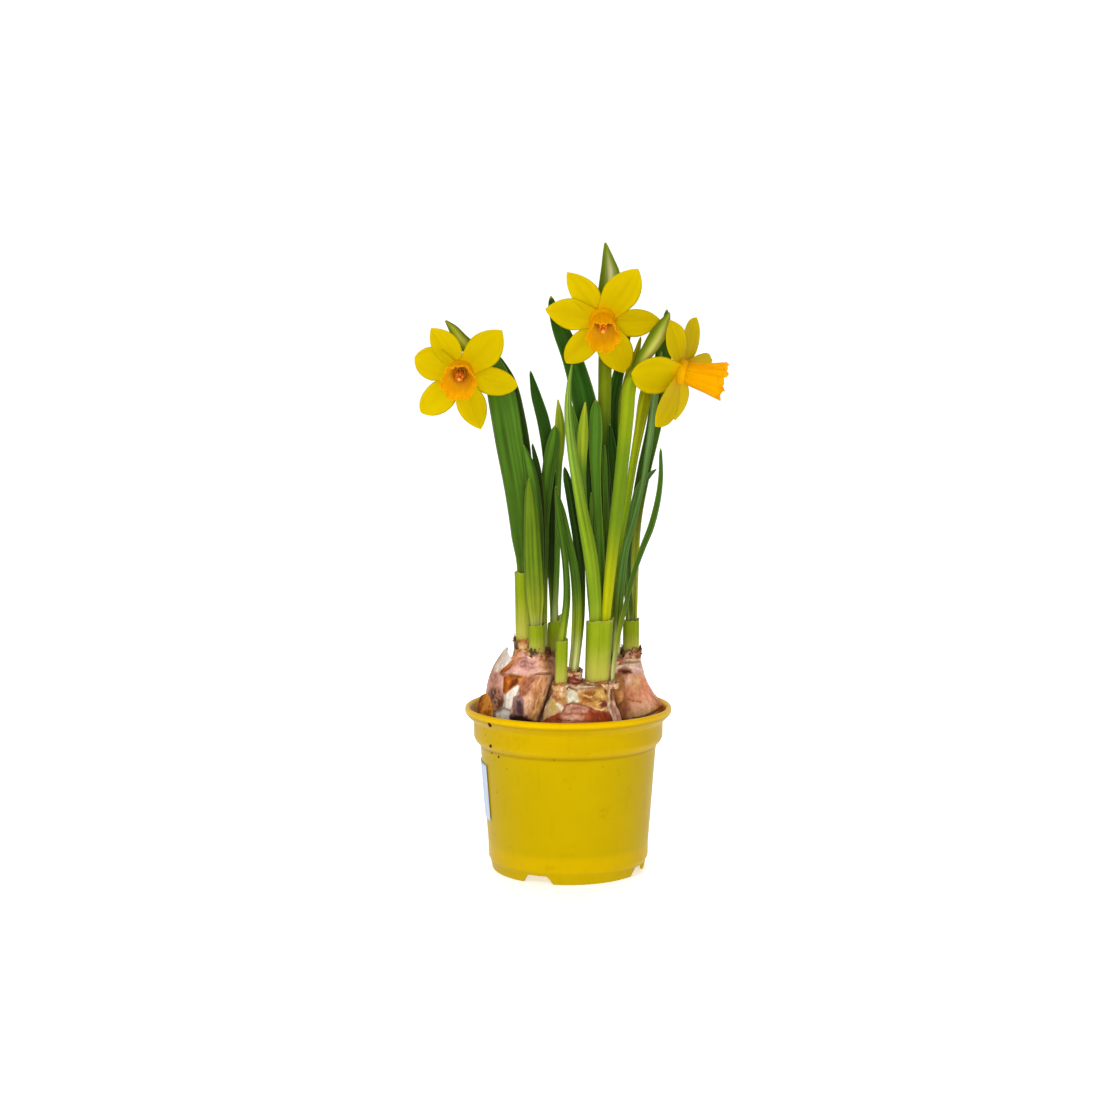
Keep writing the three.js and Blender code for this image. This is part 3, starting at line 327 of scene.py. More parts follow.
def noise(p, seed):
    """Smooth noise in -1..1 at points p, one cell to the unit."""
    p = np.asarray(p, float)
    cell = np.floor(p).astype(np.int64)
    f = p - cell
    f = f * f * (3 - 2 * f)
    total = np.zeros(len(p))
    for corner in itertools.product((0, 1), repeat=3):
        c = cell + corner
        h = c[:, 0] * 374761393 + c[:, 1] * 668265263 + c[:, 2] * 1442695041 + seed * 1274126177
        h = (h ^ (h >> 13)) * 1274126177 & 0xFFFFFFFF
        value = ((h ^ (h >> 16)) & 0xFFFF) / 32767.5 - 1
        weight = np.prod(np.where(corner, f, 1 - f), axis=1)
        total += value * weight
    return total


def fractal(p, octaves, seed):
    """Noise with finer noise laid over it."""
    p = np.asarray(p, float)
    return sum(noise(p * 2**k, seed + k) / 2**k for k in range(octaves)) / 1.6


def spline(points, places):
    """A centripetal Catmull-Rom curve through the points, at places 0..1."""
    points = np.asarray(points, float)
    last = len(points) - 1
    out = []
    for place in places:
        i = min(int(last * place), last - 1)
        w = last * place - i
        p1, p2 = points[i], points[i + 1]
        p0 = points[i - 1] if i > 0 else 2 * p1 - p2
        p3 = points[i + 2] if i + 2 <= last else 2 * p2 - p1
        gap = [max(np.linalg.norm(b - a), 1e-6) ** 0.5 for a, b in ((p0, p1), (p1, p2), (p2, p3))]
        t1 = ((p1 - p0) / gap[0] - (p2 - p0) / (gap[0] + gap[1]) + (p2 - p1) / gap[1]) * gap[1]
        t2 = ((p2 - p1) / gap[1] - (p3 - p1) / (gap[1] + gap[2]) + (p3 - p2) / gap[2]) * gap[1]
        out.append(p1 + t1 * w + (3 * (p2 - p1) - 2 * t1 - t2) * w**2 + (2 * (p1 - p2) + t1 + t2) * w**3)
    return np.array(out)


def along(values, places):
    """A smooth course through single values."""
    return spline([[v, k] for k, v in enumerate(values)], places)[:, 0]


def painted(tint, *coats):
    """A colour, or a colour per point, with coats [colour, share] laid over it in turn."""
    tint = rgb(*tint) if isinstance(tint, tuple) else tint
    for colour, share in coats:
        tint = blend(tint, rgb(*colour), share)
    return tint


def circle(sides):
    """Angles round a circle."""
    return np.linspace(0, 2 * math.pi, sides, endpoint=False)


def ring(a, radius, z):
    """Points at angles a round the axis. Radius and height may differ from one to the next."""
    return np.column_stack([radius * np.cos(a), radius * np.sin(a), np.full(len(a), z)])


def squarish(a):
    """How much a circle swells at angles a to become a square with round corners."""
    return (np.abs(np.cos(a)) ** 3 + np.abs(np.sin(a)) ** 3) ** (-1 / 3)


def oval_ring(a, x, y, rx, ry, z):
    """Points at angles a on a squarish oval round (x, y)."""
    swell = squarish(a)
    return np.column_stack([x + rx * swell * np.cos(a), y + ry * swell * np.sin(a), np.full(len(a), z)])


def unit(v):
    v = np.asarray(v, float)
    return v / np.linalg.norm(v, axis=-1, keepdims=True)


# Meshes

class Body:
    """Points, faces, a colour per point and a flat coordinate per point, in millimetres."""

    def __init__(self, points, faces, tint, flat=None):
        self.points = np.asarray(points, float)
        self.faces = [tuple(f) for f in faces]
        self.tint = np.broadcast_to(np.asarray(tint, float), (len(self.points), 3)).copy()
        self.flat = np.zeros((len(self.points), 2)) if flat is None else np.asarray(flat, float)

    def __add__(self, other):
        start = len(self.points)
        faces = self.faces + [tuple(k + start for k in f) for f in other.faces]
        return Body(
            np.vstack([self.points, other.points]), faces,
            np.vstack([self.tint, other.tint]), np.vstack([self.flat, other.flat]),
        )


def ring_faces(rows, count, capped=True):
    """Quads round a stack of closed rings, facing out when these run anticlockwise seen from above."""
    faces = []
    for i in range(rows - 1):
        low, high = i * count, (i + 1) * count
        for j in range(count):
            k = (j + 1) % count
            faces.append((low + j, low + k, high + k, high + j))
    if capped:
        faces.append(tuple(reversed(range(count))))
        faces.append(tuple(range((rows - 1) * count, rows * count)))
    return faces


def shell_faces(rows, count):
    """Faces of a wall between an outer and an inner stack of rings."""
    outer = ring_faces(rows, count, False)
    inner = [tuple(k + rows * count for k in reversed(f)) for f in outer]
    rims = []
    deep, top = rows * count, (rows - 1) * count
    for j in range(count):
        k = (j + 1) % count
        rims.append((top + j, top + k, deep + top + k, deep + top + j))
        rims.append((deep + j, deep + k, k, j))
    return outer + inner + rims


def sheet_faces(rows, columns):
    """Faces of a thin sheet: a grid for one side, the same grid for the other, and the edges."""
    half = rows * columns
    faces = []
    for i in range(rows - 1):
        for j in range(columns - 1):
            a, b = i * columns + j, i * columns + j + 1
            c, d = b + columns, a + columns
            faces += [(a, d, c, b), (a + half, b + half, c + half, d + half)]
    border = list(range(columns)) + [i * columns + columns - 1 for i in range(1, rows)]
    border += [(rows - 1) * columns + j for j in range(columns - 2, -1, -1)]
    border += [i * columns for i in range(rows - 2, 0, -1)]
    return faces + [(a, b, b + half, a + half) for a, b in zip(border, border[1:] + border[:1])]


def mesh_object(name, body):
    """A body as a smooth object in metres, with its tint and its flat coordinate."""
    mesh = bpy.data.meshes.new(name)
    mesh.from_pydata((body.points * 0.001).tolist(), [], body.faces)
    tint = mesh.attributes.new("tint", "FLOAT_COLOR", "POINT")
    colours = np.column_stack([body.tint, np.ones(len(body.tint))])
    tint.data.foreach_set("color", colours.astype(np.float32).ravel())
    corner = np.empty(len(mesh.loops), np.int32)
    mesh.loops.foreach_get("vertex_index", corner)
    flat = mesh.uv_layers.new(name="flat")
    flat.data.foreach_set("uv", body.flat[corner].astype(np.float32).ravel())
    mesh.shade_smooth()
    thing = bpy.data.objects.new(name, mesh)
    bpy.context.scene.collection.objects.link(thing)
    return thing


def show(body, node, slot, look=None, suffix="skin"):
    """Puts a piece in the scene, a skin in place of its CAD node and others beside it."""
    thing = mesh_object(f"{node}_{suffix}", body)
    thing.data.materials.append(LOOKS[look or slot])
    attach(thing, "root")
    if suffix == "skin":
        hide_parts(node)


# Blades: leaves, spathes and loose skins

def run_along(points, places):
    """The path through the points, its directions, and the length run at each place."""
    centres = [p[:3] for p in points]
    step = 1e-3
    path = spline(centres, places)
    ahead, behind = np.minimum(places + step, 1), np.maximum(places - step, 0)
    tangents = unit(spline(centres, ahead) - spline(centres, behind))
    length = np.concatenate([[0], np.cumsum(np.linalg.norm(np.diff(path, axis=0), axis=1))])
    return path, tangents, length


def round_trip(spread):
    """Places across a thin section, along its front and back along its back, and the side of each."""
    front = np.linspace(-1, 1, spread)
    side = np.concatenate([np.ones(spread), -np.ones(spread - 2)])
    side[[0, spread - 1]] = 0
    return np.concatenate([front, front[1:-1][::-1]]), side


def blade(points, azimuth, curl, count, spread, thickness, ripple, seed, tip_round=2.4):
    """A thin solid along given points. Returns it, and how far along and across it each point lies."""
    even = np.linspace(0, 0.9, int(count * 0.68), endpoint=False)
    places = np.concatenate([even, np.linspace(0.9, 1, count - len(even))])
    path, tangents, length = run_along(points, places)
    widths = along([p[3] for p in points], places)
    left = np.clip((length[-1] - length) / tip_round, 0, 1)
    widths = np.maximum(widths * np.sqrt(1 - (1 - left) ** 2), 0.06)
    s, side = round_trip(spread)
    ridge = 0.05 * np.cos(math.pi * s * ((spread - 1) // 2)) * side * (1 - s**2)
    rows = []
    for centre, tangent, width, run in zip(path, tangents, widths, length):
        sway = math.radians(azimuth) + 0.10 * math.sin(run / 23 + seed) * smooth(10, 50, run)
        face = np.array([math.cos(sway), math.sin(sway), 0.0])
        face = unit(face - face @ tangent * tangent)
        across = np.cross(tangent, face)
        deep = min(thickness, 1.2 * width) / 2 * (1 - 0.88 * s**2) * side
        wave = ripple * s * np.abs(s) * math.sin(run / 9 + 2.1 * seed) * min(width / 5, 1)
        lift = curl * width * s**2 + wave
        rows.append(centre + np.outer(width * s, across) + np.outer(lift + deep + ridge, face))
    body = Body(np.vstack(rows), ring_faces(count, len(s)), (0, 0, 0))
    s_all = np.tile(s, count)
    body.flat = np.column_stack([np.repeat(widths, len(s)) * s_all, np.repeat(length, len(s))])
    return body, np.repeat(length / length[-1], len(s)), s_all


def stem(points, count, sides, ridges, seed):
    """A stem through points [x, y, z, radius], or [x, y, z, radius across, radius fore and aft]."""
    places = np.linspace(0, 1, count)
    path, tangents, length = run_along(points, places)
    wide = along([p[3] for p in points], places)
    deep = along([p[-1] for p in points], places)
    a = circle(sides)
    swell = 1 + ridges * np.cos(2 * a) + 0.4 * ridges * np.cos(7 * a + seed)
    across = np.array([1.0, 0, 0])
    rows = []
    for centre, tangent, rx, ry in zip(path, tangents, wide, deep):
        across = unit(across - across @ tangent * tangent)
        fore = np.cross(tangent, across)
        oval = np.outer(rx * swell * np.cos(a), across) + np.outer(ry * swell * np.sin(a), fore)
        rows.append(centre + oval)
    body = Body(np.vstack(rows), ring_faces(count, sides), (0, 0, 0))
    body.flat = np.column_stack([np.tile(2.5 * a, count), np.repeat(length, sides)])
    return body, np.repeat(length / length[-1], sides), np.tile(a, count)


# Materials: the colour is the piece's own tint, with streaks and spots worked in by nodes

def material(name, roughness, streak, streak_depth, bump, mottle, sheen=0.0, through=0.0,
             rough_change=0.1, gloss=0.2, grain=900.0, shine=(1, 1, 1)):
    """streak is the streaks' fineness across and along the flat coordinate, per millimetre."""
    made = bpy.data.materials.new(name)
    made.use_nodes = True
    nodes, links = made.node_tree.nodes, made.node_tree.links
    nodes.clear()

    def add(kind, **inputs):
        node = nodes.new(kind)
        for key, value in inputs.items():
            node.inputs[key.replace("_", " ")].default_value = value
        return node

    def math_node(operation, a, b):
        node = nodes.new("ShaderNodeMath")
        node.operation = operation
        for k, value in enumerate((a, b)):
            if isinstance(value, (int, float)):
                node.inputs[k].default_value = value
            else:
                links.new(value, node.inputs[k])
        return node.outputs[0]

    tint = nodes.new("ShaderNodeAttribute")
    tint.attribute_name = "tint"
    flat = nodes.new("ShaderNodeUVMap")
    flat.uv_map = "flat"
    place = nodes.new("ShaderNodeMapping")
    place.inputs["Scale"].default_value = (streak[0], streak[1], 1)
    links.new(flat.outputs["UV"], place.inputs["Vector"])
    streaks = add("ShaderNodeTexNoise", Scale=1.0, Detail=4.0, Roughness=0.6)
    links.new(place.outputs["Vector"], streaks.inputs["Vector"])
    where = nodes.new("ShaderNodeTexCoord")
    spots = add("ShaderNodeTexNoise", Scale=grain / 6, Detail=5.0, Roughness=0.6)
    links.new(where.outputs["Object"], spots.inputs["Vector"])
    streaked = math_node("MULTIPLY", math_node("SUBTRACT", streaks.outputs["Fac"], 0.5), 2 * streak_depth)
    spotted = math_node("MULTIPLY", math_node("SUBTRACT", spots.outputs["Fac"], 0.5), 2 * mottle)
    gain = math_node("ADD", math_node("ADD", streaked, spotted), 1.0)
    coloured = nodes.new("ShaderNodeVectorMath")
    coloured.operation = "SCALE"
    links.new(tint.outputs["Color"], coloured.inputs[0])
    links.new(gain, coloured.inputs["Scale"])
    shader = add("ShaderNodeBsdfPrincipled", Specular_IOR_Level=gloss, Sheen_Weight=sheen)
    shader.inputs["Specular Tint"].default_value = (*shine, 1)
    links.new(coloured.outputs["Vector"], shader.inputs["Base Color"])
    uneven = math_node("MULTIPLY", spots.outputs["Fac"], rough_change)
    rough = math_node("ADD", uneven, roughness - rough_change / 2)
    links.new(rough, shader.inputs["Roughness"])
    raised = add("ShaderNodeBump", Strength=bump, Distance=0.0006)
    height = math_node("ADD", streaks.outputs["Fac"], math_node("MULTIPLY", spots.outputs["Fac"], 0.5))
    links.new(height, raised.inputs["Height"])
    links.new(raised.outputs["Normal"], shader.inputs["Normal"])
    out = nodes.new("ShaderNodeOutputMaterial")
    surface = shader.outputs["BSDF"]
    if through:
        thin = nodes.new("ShaderNodeBsdfTranslucent")
        links.new(coloured.outputs["Vector"], thin.inputs["Color"])
        both = nodes.new("ShaderNodeMixShader")
        both.inputs["Fac"].default_value = through
        links.new(surface, both.inputs[1])
        links.new(thin.outputs["BSDF"], both.inputs[2])
        surface = both.outputs["Shader"]
    links.new(surface, out.inputs["Surface"])
    return made


LEAF_SHINE = (0.9, 1, 0.3)
PETAL_SHINE = (1, 0.85, 0.12)
SKIN_SHINE = (1, 0.9, 0.8)

LOOKS = {
    "leaf": material(
        "leaf", 0.45, (3.2, 0.03), 0.22, 0.25, 0.12, 0.03, 0.08, gloss=0.14, shine=LEAF_SHINE,
    ),
    "sheath": material(
        "sheath", 0.5, (2.6, 0.04), 0.16, 0.2, 0.10, 0.03, 0.3, gloss=0.12, shine=LEAF_SHINE,
    ),
    "scape": material("scape", 0.45, (2.4, 0.03), 0.16, 0.2, 0.10, 0.03, gloss=0.12, shine=LEAF_SHINE),
    "spathe": material(
        "spathe", 0.45, (3.4, 0.05), 0.25, 0.3, 0.12, 0.03, 0.15, gloss=0.15, shine=LEAF_SHINE,
    ),
    "bud": material("bud", 0.45, (2.8, 0.05), 0.18, 0.2, 0.10, 0.03, shine=LEAF_SHINE),
    "tepal": material(
        "tepal", 0.55, (2.2, 0.12), 0.05, 0.1, 0.03, through=0.42, gloss=0.1, shine=PETAL_SHINE,
    ),
    "corona": material(
        "corona", 0.55, (1.6, 0.1), 0.08, 0.2, 0.04, through=0.6, gloss=0.1, shine=PETAL_SHINE,
    ),
    "stamen": material("stamen", 0.7, (3, 1), 0.2, 0.3, 0.2, through=0.3),
    "bulb_tunic": material(
        "bulb_tunic", 0.4, (2.2, 0.25), 0.2, 0.4, 0.3, rough_change=0.3, gloss=0.18, grain=5000,
        shine=SKIN_SHINE,
    ),
    "dry_skin": material(
        "dry_skin", 0.45, (2.2, 0.25), 0.2, 0.4, 0.3, through=0.35, rough_change=0.3, gloss=0.16,
        grain=5000, shine=SKIN_SHINE,
    ),
    "compost": material("compost", 0.95, (1, 1), 0.3, 0.6, 0.5, grain=6000),
    "pot_plastic": material(
        "pot_plastic", 0.38, (0.05, 0.4), 0.02, 0.06, 0.03, gloss=0.08, grain=400, shine=(1, 0.8, 0.1),
    ),
    "label_paper": material("label_paper", 0.55, (0.5, 0.5), 0.03, 0.05, 0.02),
    "dirt": material("dirt", 0.9, (1, 1), 0.3, 0.4, 0.4, grain=6000),
}


# Camera: the photo was taken from about 0.96 m in front and 0.26 m up, looking a little down

CAMERA_PLACE = (-4.0, -956.0, 256.0)
CAMERA_DROP = math.radians(6.32)
FRAME_PIXELS = 1120
FOCAL_PIXELS = 2000


def seen_at(points):
    """Where points fall in the 1120 x 1120 frame."""
    d = np.asarray(points, float) - CAMERA_PLACE
    depth = d[:, 1] * math.cos(CAMERA_DROP) - d[:, 2] * math.sin(CAMERA_DROP)
    up = d[:, 1] * math.sin(CAMERA_DROP) + d[:, 2] * math.cos(CAMERA_DROP)
    return FRAME_PIXELS / 2 + FOCAL_PIXELS * np.column_stack([d[:, 0] / depth, -up / depth])


def inside(places, outline, soft):
    """How far places lie inside an outline: 0 outside, 1 inside, with a soft edge."""
    outline = np.asarray(outline, float)
    nearest = np.full(len(places), 1e9)
    within = np.zeros(len(places), bool)
    for a, b in zip(outline, np.roll(outline, -1, axis=0)):
        edge = b - a
        t = np.clip(((places - a) @ edge) / (edge @ edge), 0, 1)
        nearest = np.minimum(nearest, np.linalg.norm(places - a - t[:, None] * edge, axis=1))
        crosses = (a[1] > places[:, 1]) != (b[1] > places[:, 1])
        rise = np.where(abs(edge[1]) < 1e-9, 1e-9, edge[1])
        within ^= crosses & (places[:, 0] < a[0] + (places[:, 1] - a[1]) * edge[0] / rise)
    return smooth(-soft, soft, np.where(within, nearest, -nearest))


# Pot

POT_SIDES = 240
RIM_TILT = 0.3
NOTCH_RADIUS = 37.2
NOTCH_AZIMUTHS = (66.5, 156.5, 246.5, 336.5)
NOTCH_SHAPE = ((7.9, 0.0), (7.5, 0.7), (6.4, 2.5), (5.0, 4.0))


def rounded(profile, radius):
    """A closed profile with each corner cut to a small curve."""
    profile = np.asarray(profile, float)
    out = []
    for before, corner, after in zip(np.roll(profile, 1, 0), profile, np.roll(profile, -1, 0)):
        reach = [min(radius, 0.4 * np.linalg.norm(p - corner)) for p in (before, after)]
        a = corner + unit(before - corner) * reach[0]
        b = corner + unit(after - corner) * reach[1]
        out += [(1 - t) ** 2 * a + 2 * t * (1 - t) * corner + t * t * b for t in (0, 0.33, 0.67, 1)]
    return np.array(out)


def notch_level(azimuth):
    """The height of the foot's lower edge at an azimuth in degrees."""
    off = math.radians(min(abs((azimuth - n + 180) % 360 - 180) for n in NOTCH_AZIMUTHS)) * NOTCH_RADIUS
    return np.interp(off, *zip(*NOTCH_SHAPE[::-1]), right=0)


def pot():
    """The pot as one closed section, carried round the axis past the notches in its foot."""
    under_floor = [(0.5, FLOOR_TOP), (0.5, FLOOR_BOTTOM), (FOOT_INSIDE, FLOOR_BOTTOM), (FOOT_INSIDE, 0)]
    corners = rounded(POT_OUTSIDE + POT_INSIDE + under_floor, 0.5)
    section = []
    for a, b in zip(corners, np.roll(corners, -1, 0)):
        steps = max(1, int(np.linalg.norm(b - a) / (0.5 if a[1] > 74 else 1.5)))
        section += [a + (b - a) * k / steps for k in range(steps)]
    section = np.array(section)
    azimuths = set(np.arange(0, 360, 360 / POT_SIDES))
    for n in NOTCH_AZIMUTHS:
        for off, _ in NOTCH_SHAPE:
            turn = math.degrees(off / NOTCH_RADIUS)
            azimuths |= {(n + turn) % 360, (n - turn) % 360}
    azimuths = np.array(sorted(azimuths))
    rows = []
    for azimuth in azimuths:
        a = math.radians(azimuth)
        r = section[:, 0] * (1 + 0.0012 * math.sin(2 * a + 0.6))
        z = np.where(section[:, 1] < 4.6, np.maximum(section[:, 1], notch_level(azimuth)), section[:, 1])
        rows.append(np.column_stack([r * math.cos(a), r * math.sin(a), z]))
    count, turns = len(section), len(azimuths)
    faces = []
    for i in range(turns):
        here, beyond = i * count, (i + 1) % turns * count
        for j in range(count):
            k = (j + 1) % count
            faces.append((here + j, beyond + j, beyond + k, here + k))
    points = np.vstack(rows)
    radius = np.hypot(points[:, 0], points[:, 1])
    z = points[:, 2]
    # Painted shade: a dark line just under the rolled lip, with a fainter band below it
    under = np.exp(-(((z - 76.2) / 0.55) ** 2)) + 0.35 * np.exp(-(((z - 75) / 1.2) ** 2))
    inner = (radius < pot_radius(z) - 0.55) & (z > 5.5) & (z < 78.2)
    soil = smooth(-0.1, 0.5, fractal(points / 3, 4, 15)) * smooth(58, 72, z) * smooth(79, 74, z)
    scratch = np.exp(-((noise(points * [0.12, 0.12, 1.1], 33) / 0.05) ** 2))
    scratch *= smooth(0.2, 0.6, noise(points / 9, 34))
    tint = painted(
        (186, 157, 0),
        ((194, 160, 0), smooth(61, 64, z)),
        # Painted highlight along the lip's top
        ((224, 178, 0), smooth(76.9, 77.6, z)),
        # Painted shade under the rolled lip
        ((140, 104, 0), 0.45 * np.clip(under, 0, 1) * (radius > 47)),
        # Painted highlight on the band that bulges above the foot
        ((200, 165, 0), smooth(5, 7, z) * (1 - smooth(11.5, 14.5, z))),
        # Painted shade: a dark line in the ledge below the collar
        ((138, 98, 0), 0.5 * np.exp(-((z - 61) / 0.8) ** 2) * (radius > 42.2)),
        # The inside wall painted deeper orange, standing in for its shade and the light reflected inside
        ((190, 118, 0), 0.85 * inner),
        ((96, 56, 14), 0.7 * inner * soil),
        ((160, 128, 0), 0.12 * smooth(0.25, 0.6, fractal(points * [0.5, 0.5, 0.08], 4, 25))),
        ((150, 112, 0), 0.25 * scratch),
    )
    points[:, 2] += RIM_TILT * -points[:, 1] / RIM_RADIUS * smooth(42, 76, z)
    tint *= (1 + 0.05 * fractal(points / 22, 4, 3))[:, None]
    body = Body(points, faces, tint)
    round_it = np.repeat(np.radians(azimuths) * 42, count)
    body.flat = np.column_stack([round_it, np.tile(np.arange(count) * 4.0, turns)])
    show(body, "pot", "pot_plastic")


# Crumbs stuck to the pot: [x, y in the frame, size]
SPECKS = (
    (490, 725, 2.1), (486, 735, 0.5), (491, 746, 1.6), (492, 753, 1.0), (499, 757, 1.2), (554, 760, 0.6),
    (507, 769, 0.5), (603, 767, 0.5), (618, 770, 0.4), (570, 789, 0.4), (497, 792, 0.5), (510, 847, 0.45),
    (488, 741, 0.5), (495, 760, 0.6), (503, 751, 0.4), (484, 729, 0.5), (528, 774, 0.35),
    (560, 770, 0.35),
)

ICO_POINTS = unit([
    (0, 1, 1.618), (0, 1, -1.618), (0, -1, 1.618), (0, -1, -1.618), (1, 1.618, 0), (1, -1.618, 0),
    (-1, 1.618, 0), (-1, -1.618, 0), (1.618, 0, 1), (-1.618, 0, 1), (1.618, 0, -1), (-1.618, 0, -1),
])


def ico_faces():
    """The icosahedron's triangles, facing out."""
    faces = []
    for tri in itertools.combinations(range(12), 3):
        p = ICO_POINTS[list(tri)]
        if all(np.linalg.norm(p[a] - p[b]) < 1.2 for a, b in ((0, 1), (1, 2), (0, 2))):
            out = np.dot(np.cross(p[1] - p[0], p[2] - p[0]), p.sum(0)) > 0
            faces.append(tri if out else tri[::-1])
    return faces


ICO_FACES = ico_faces()


def crumbs(centres, sizes, tints, rng, flatten=1.0):
    """Small uneven lumps."""
    points, faces, colours = [], [], []
    for centre, size, tint in zip(centres, sizes, tints):
        lump = ICO_POINTS * rng.uniform(0.55, 1.2, (12, 1)) * rng.uniform(0.6, 1.1, 3) * size
        lump[:, 2] *= flatten
        start = 12 * len(points)
        points.append(lump + centre)
        faces += [tuple(k + start for k in f) for f in ICO_FACES]
        colours.append(np.broadcast_to(tint, (12, 3)) * rng.uniform(0.75, 1.25, (12, 1)))
    return Body(np.vstack(points), faces, np.vstack(colours))


def pot_radius(z):
    """The pot's outside radius at height z."""
    return np.interp(z, [p[1] for p in POT_OUTSIDE], [p[0] for p in POT_OUTSIDE])


def specks():
    """Crumbs stuck to the pot, each where the camera's ray through it meets the wall."""
    rng = np.random.default_rng(5)
    level, down = math.cos(CAMERA_DROP), math.sin(CAMERA_DROP)
    middle = FRAME_PIXELS / 2
    centres, sizes = [], []
    for x, y, size in SPECKS:
        right, up = (x - middle) / FOCAL_PIXELS, (middle - y) / FOCAL_PIXELS
        ray = np.array([right, level + up * down, up * level - down])
        for reach in np.arange(880, 1000, 0.1):
            at = ray * reach + CAMERA_PLACE
            if math.hypot(at[0], at[1]) < pot_radius(at[2]) + 0.05:
                centres.append(at)
                sizes.append(size * 0.62)
                break
    tints = [rgb(44, 22, 8)] * len(centres)
    show(crumbs(centres, sizes, tints, rng), "pot", "compost", "dirt", "specks")


def label():
    """A plain sticker round the pot's left side, with its ends lifting off a little."""
    columns, rows = 40, 24
    tall, wide = LABEL["high"] - LABEL["low"], LABEL["to"] + 2.5 - LABEL["from"]
    grid = []
    for lift in (0.3, 0.55):
        for j in range(rows):
            z = LABEL["low"] + tall * j / (rows - 1)
            for i in range(columns):
                t = i / (columns - 1)
                a = math.radians(LABEL["from"] + wide * t)
                r = pot_radius(z) + lift + 0.25 * smooth(0.9, 1, t) + 0.15 * smooth(0.9, 1, 1 - t)
                grid.append((r * math.cos(a), r * math.sin(a), z))
    points = np.array(grid)
    cloud = smooth(-0.2, 0.5, fractal(points / [3, 3, 14], 3, 11))
    tint = painted((198, 210, 232), ((166, 182, 212), 0.25 * cloud))
    show(Body(points, sheet_faces(rows, columns), tint), "label", "label_paper")


# Bulbs

MELT_VOXEL = 0.42
MELT_SMOOTHING = 4


def fused(body):
    """The body's parts melted into one skin, with its normals."""
    rough = mesh_object("melting", body)
    remesh = rough.modifiers.new("melt", "REMESH")
    remesh.mode = "VOXEL"
    remesh.voxel_size = MELT_VOXEL * 0.001
    ease = rough.modifiers.new("ease", "SMOOTH")
    ease.factor = 0.5
    ease.iterations = MELT_SMOOTHING
    bpy.context.view_layer.update()
    mesh = rough.evaluated_get(bpy.context.evaluated_depsgraph_get()).to_mesh()
    points = np.empty(3 * len(mesh.vertices), np.float32)
    normals = np.empty(3 * len(mesh.vertices), np.float32)
    mesh.vertices.foreach_get("co", points)
    mesh.vertices.foreach_get("normal", normals)
    faces = [tuple(p.vertices) for p in mesh.polygons]
    bpy.data.objects.remove(rough)
    return Body(points.reshape(-1, 3) * 1000, faces, (0, 0, 0)), normals.reshape(-1, 3)


def bulb_axis(spec, z):
    """Where the bulb's axis stands at height z, as it leans from foot to head."""
    low, high = spec["rows"][0][0], spec["rows"][-1][0]
    rise = np.clip((z - low) / (high - low), 0, 1) ** 2
    return [foot + (head - foot) * rise for foot, head in zip(spec["foot"], spec["head"])]


def lathe_rows(spec, count, sides):
    """The bulb's swelling body as a stack of rings."""
    places = np.linspace(0, 1, count)
    heights = along([r[0] for r in spec["rows"]], places)
    radii = along([r[1] for r in spec["rows"]], places)
    a = circle(sides)
    rings = [ring(a, radius, z) + [*bulb_axis(spec, z), 0] for z, radius in zip(heights, radii)]
    return Body(np.vstack(rings), ring_faces(count, sides), (0, 0, 0))
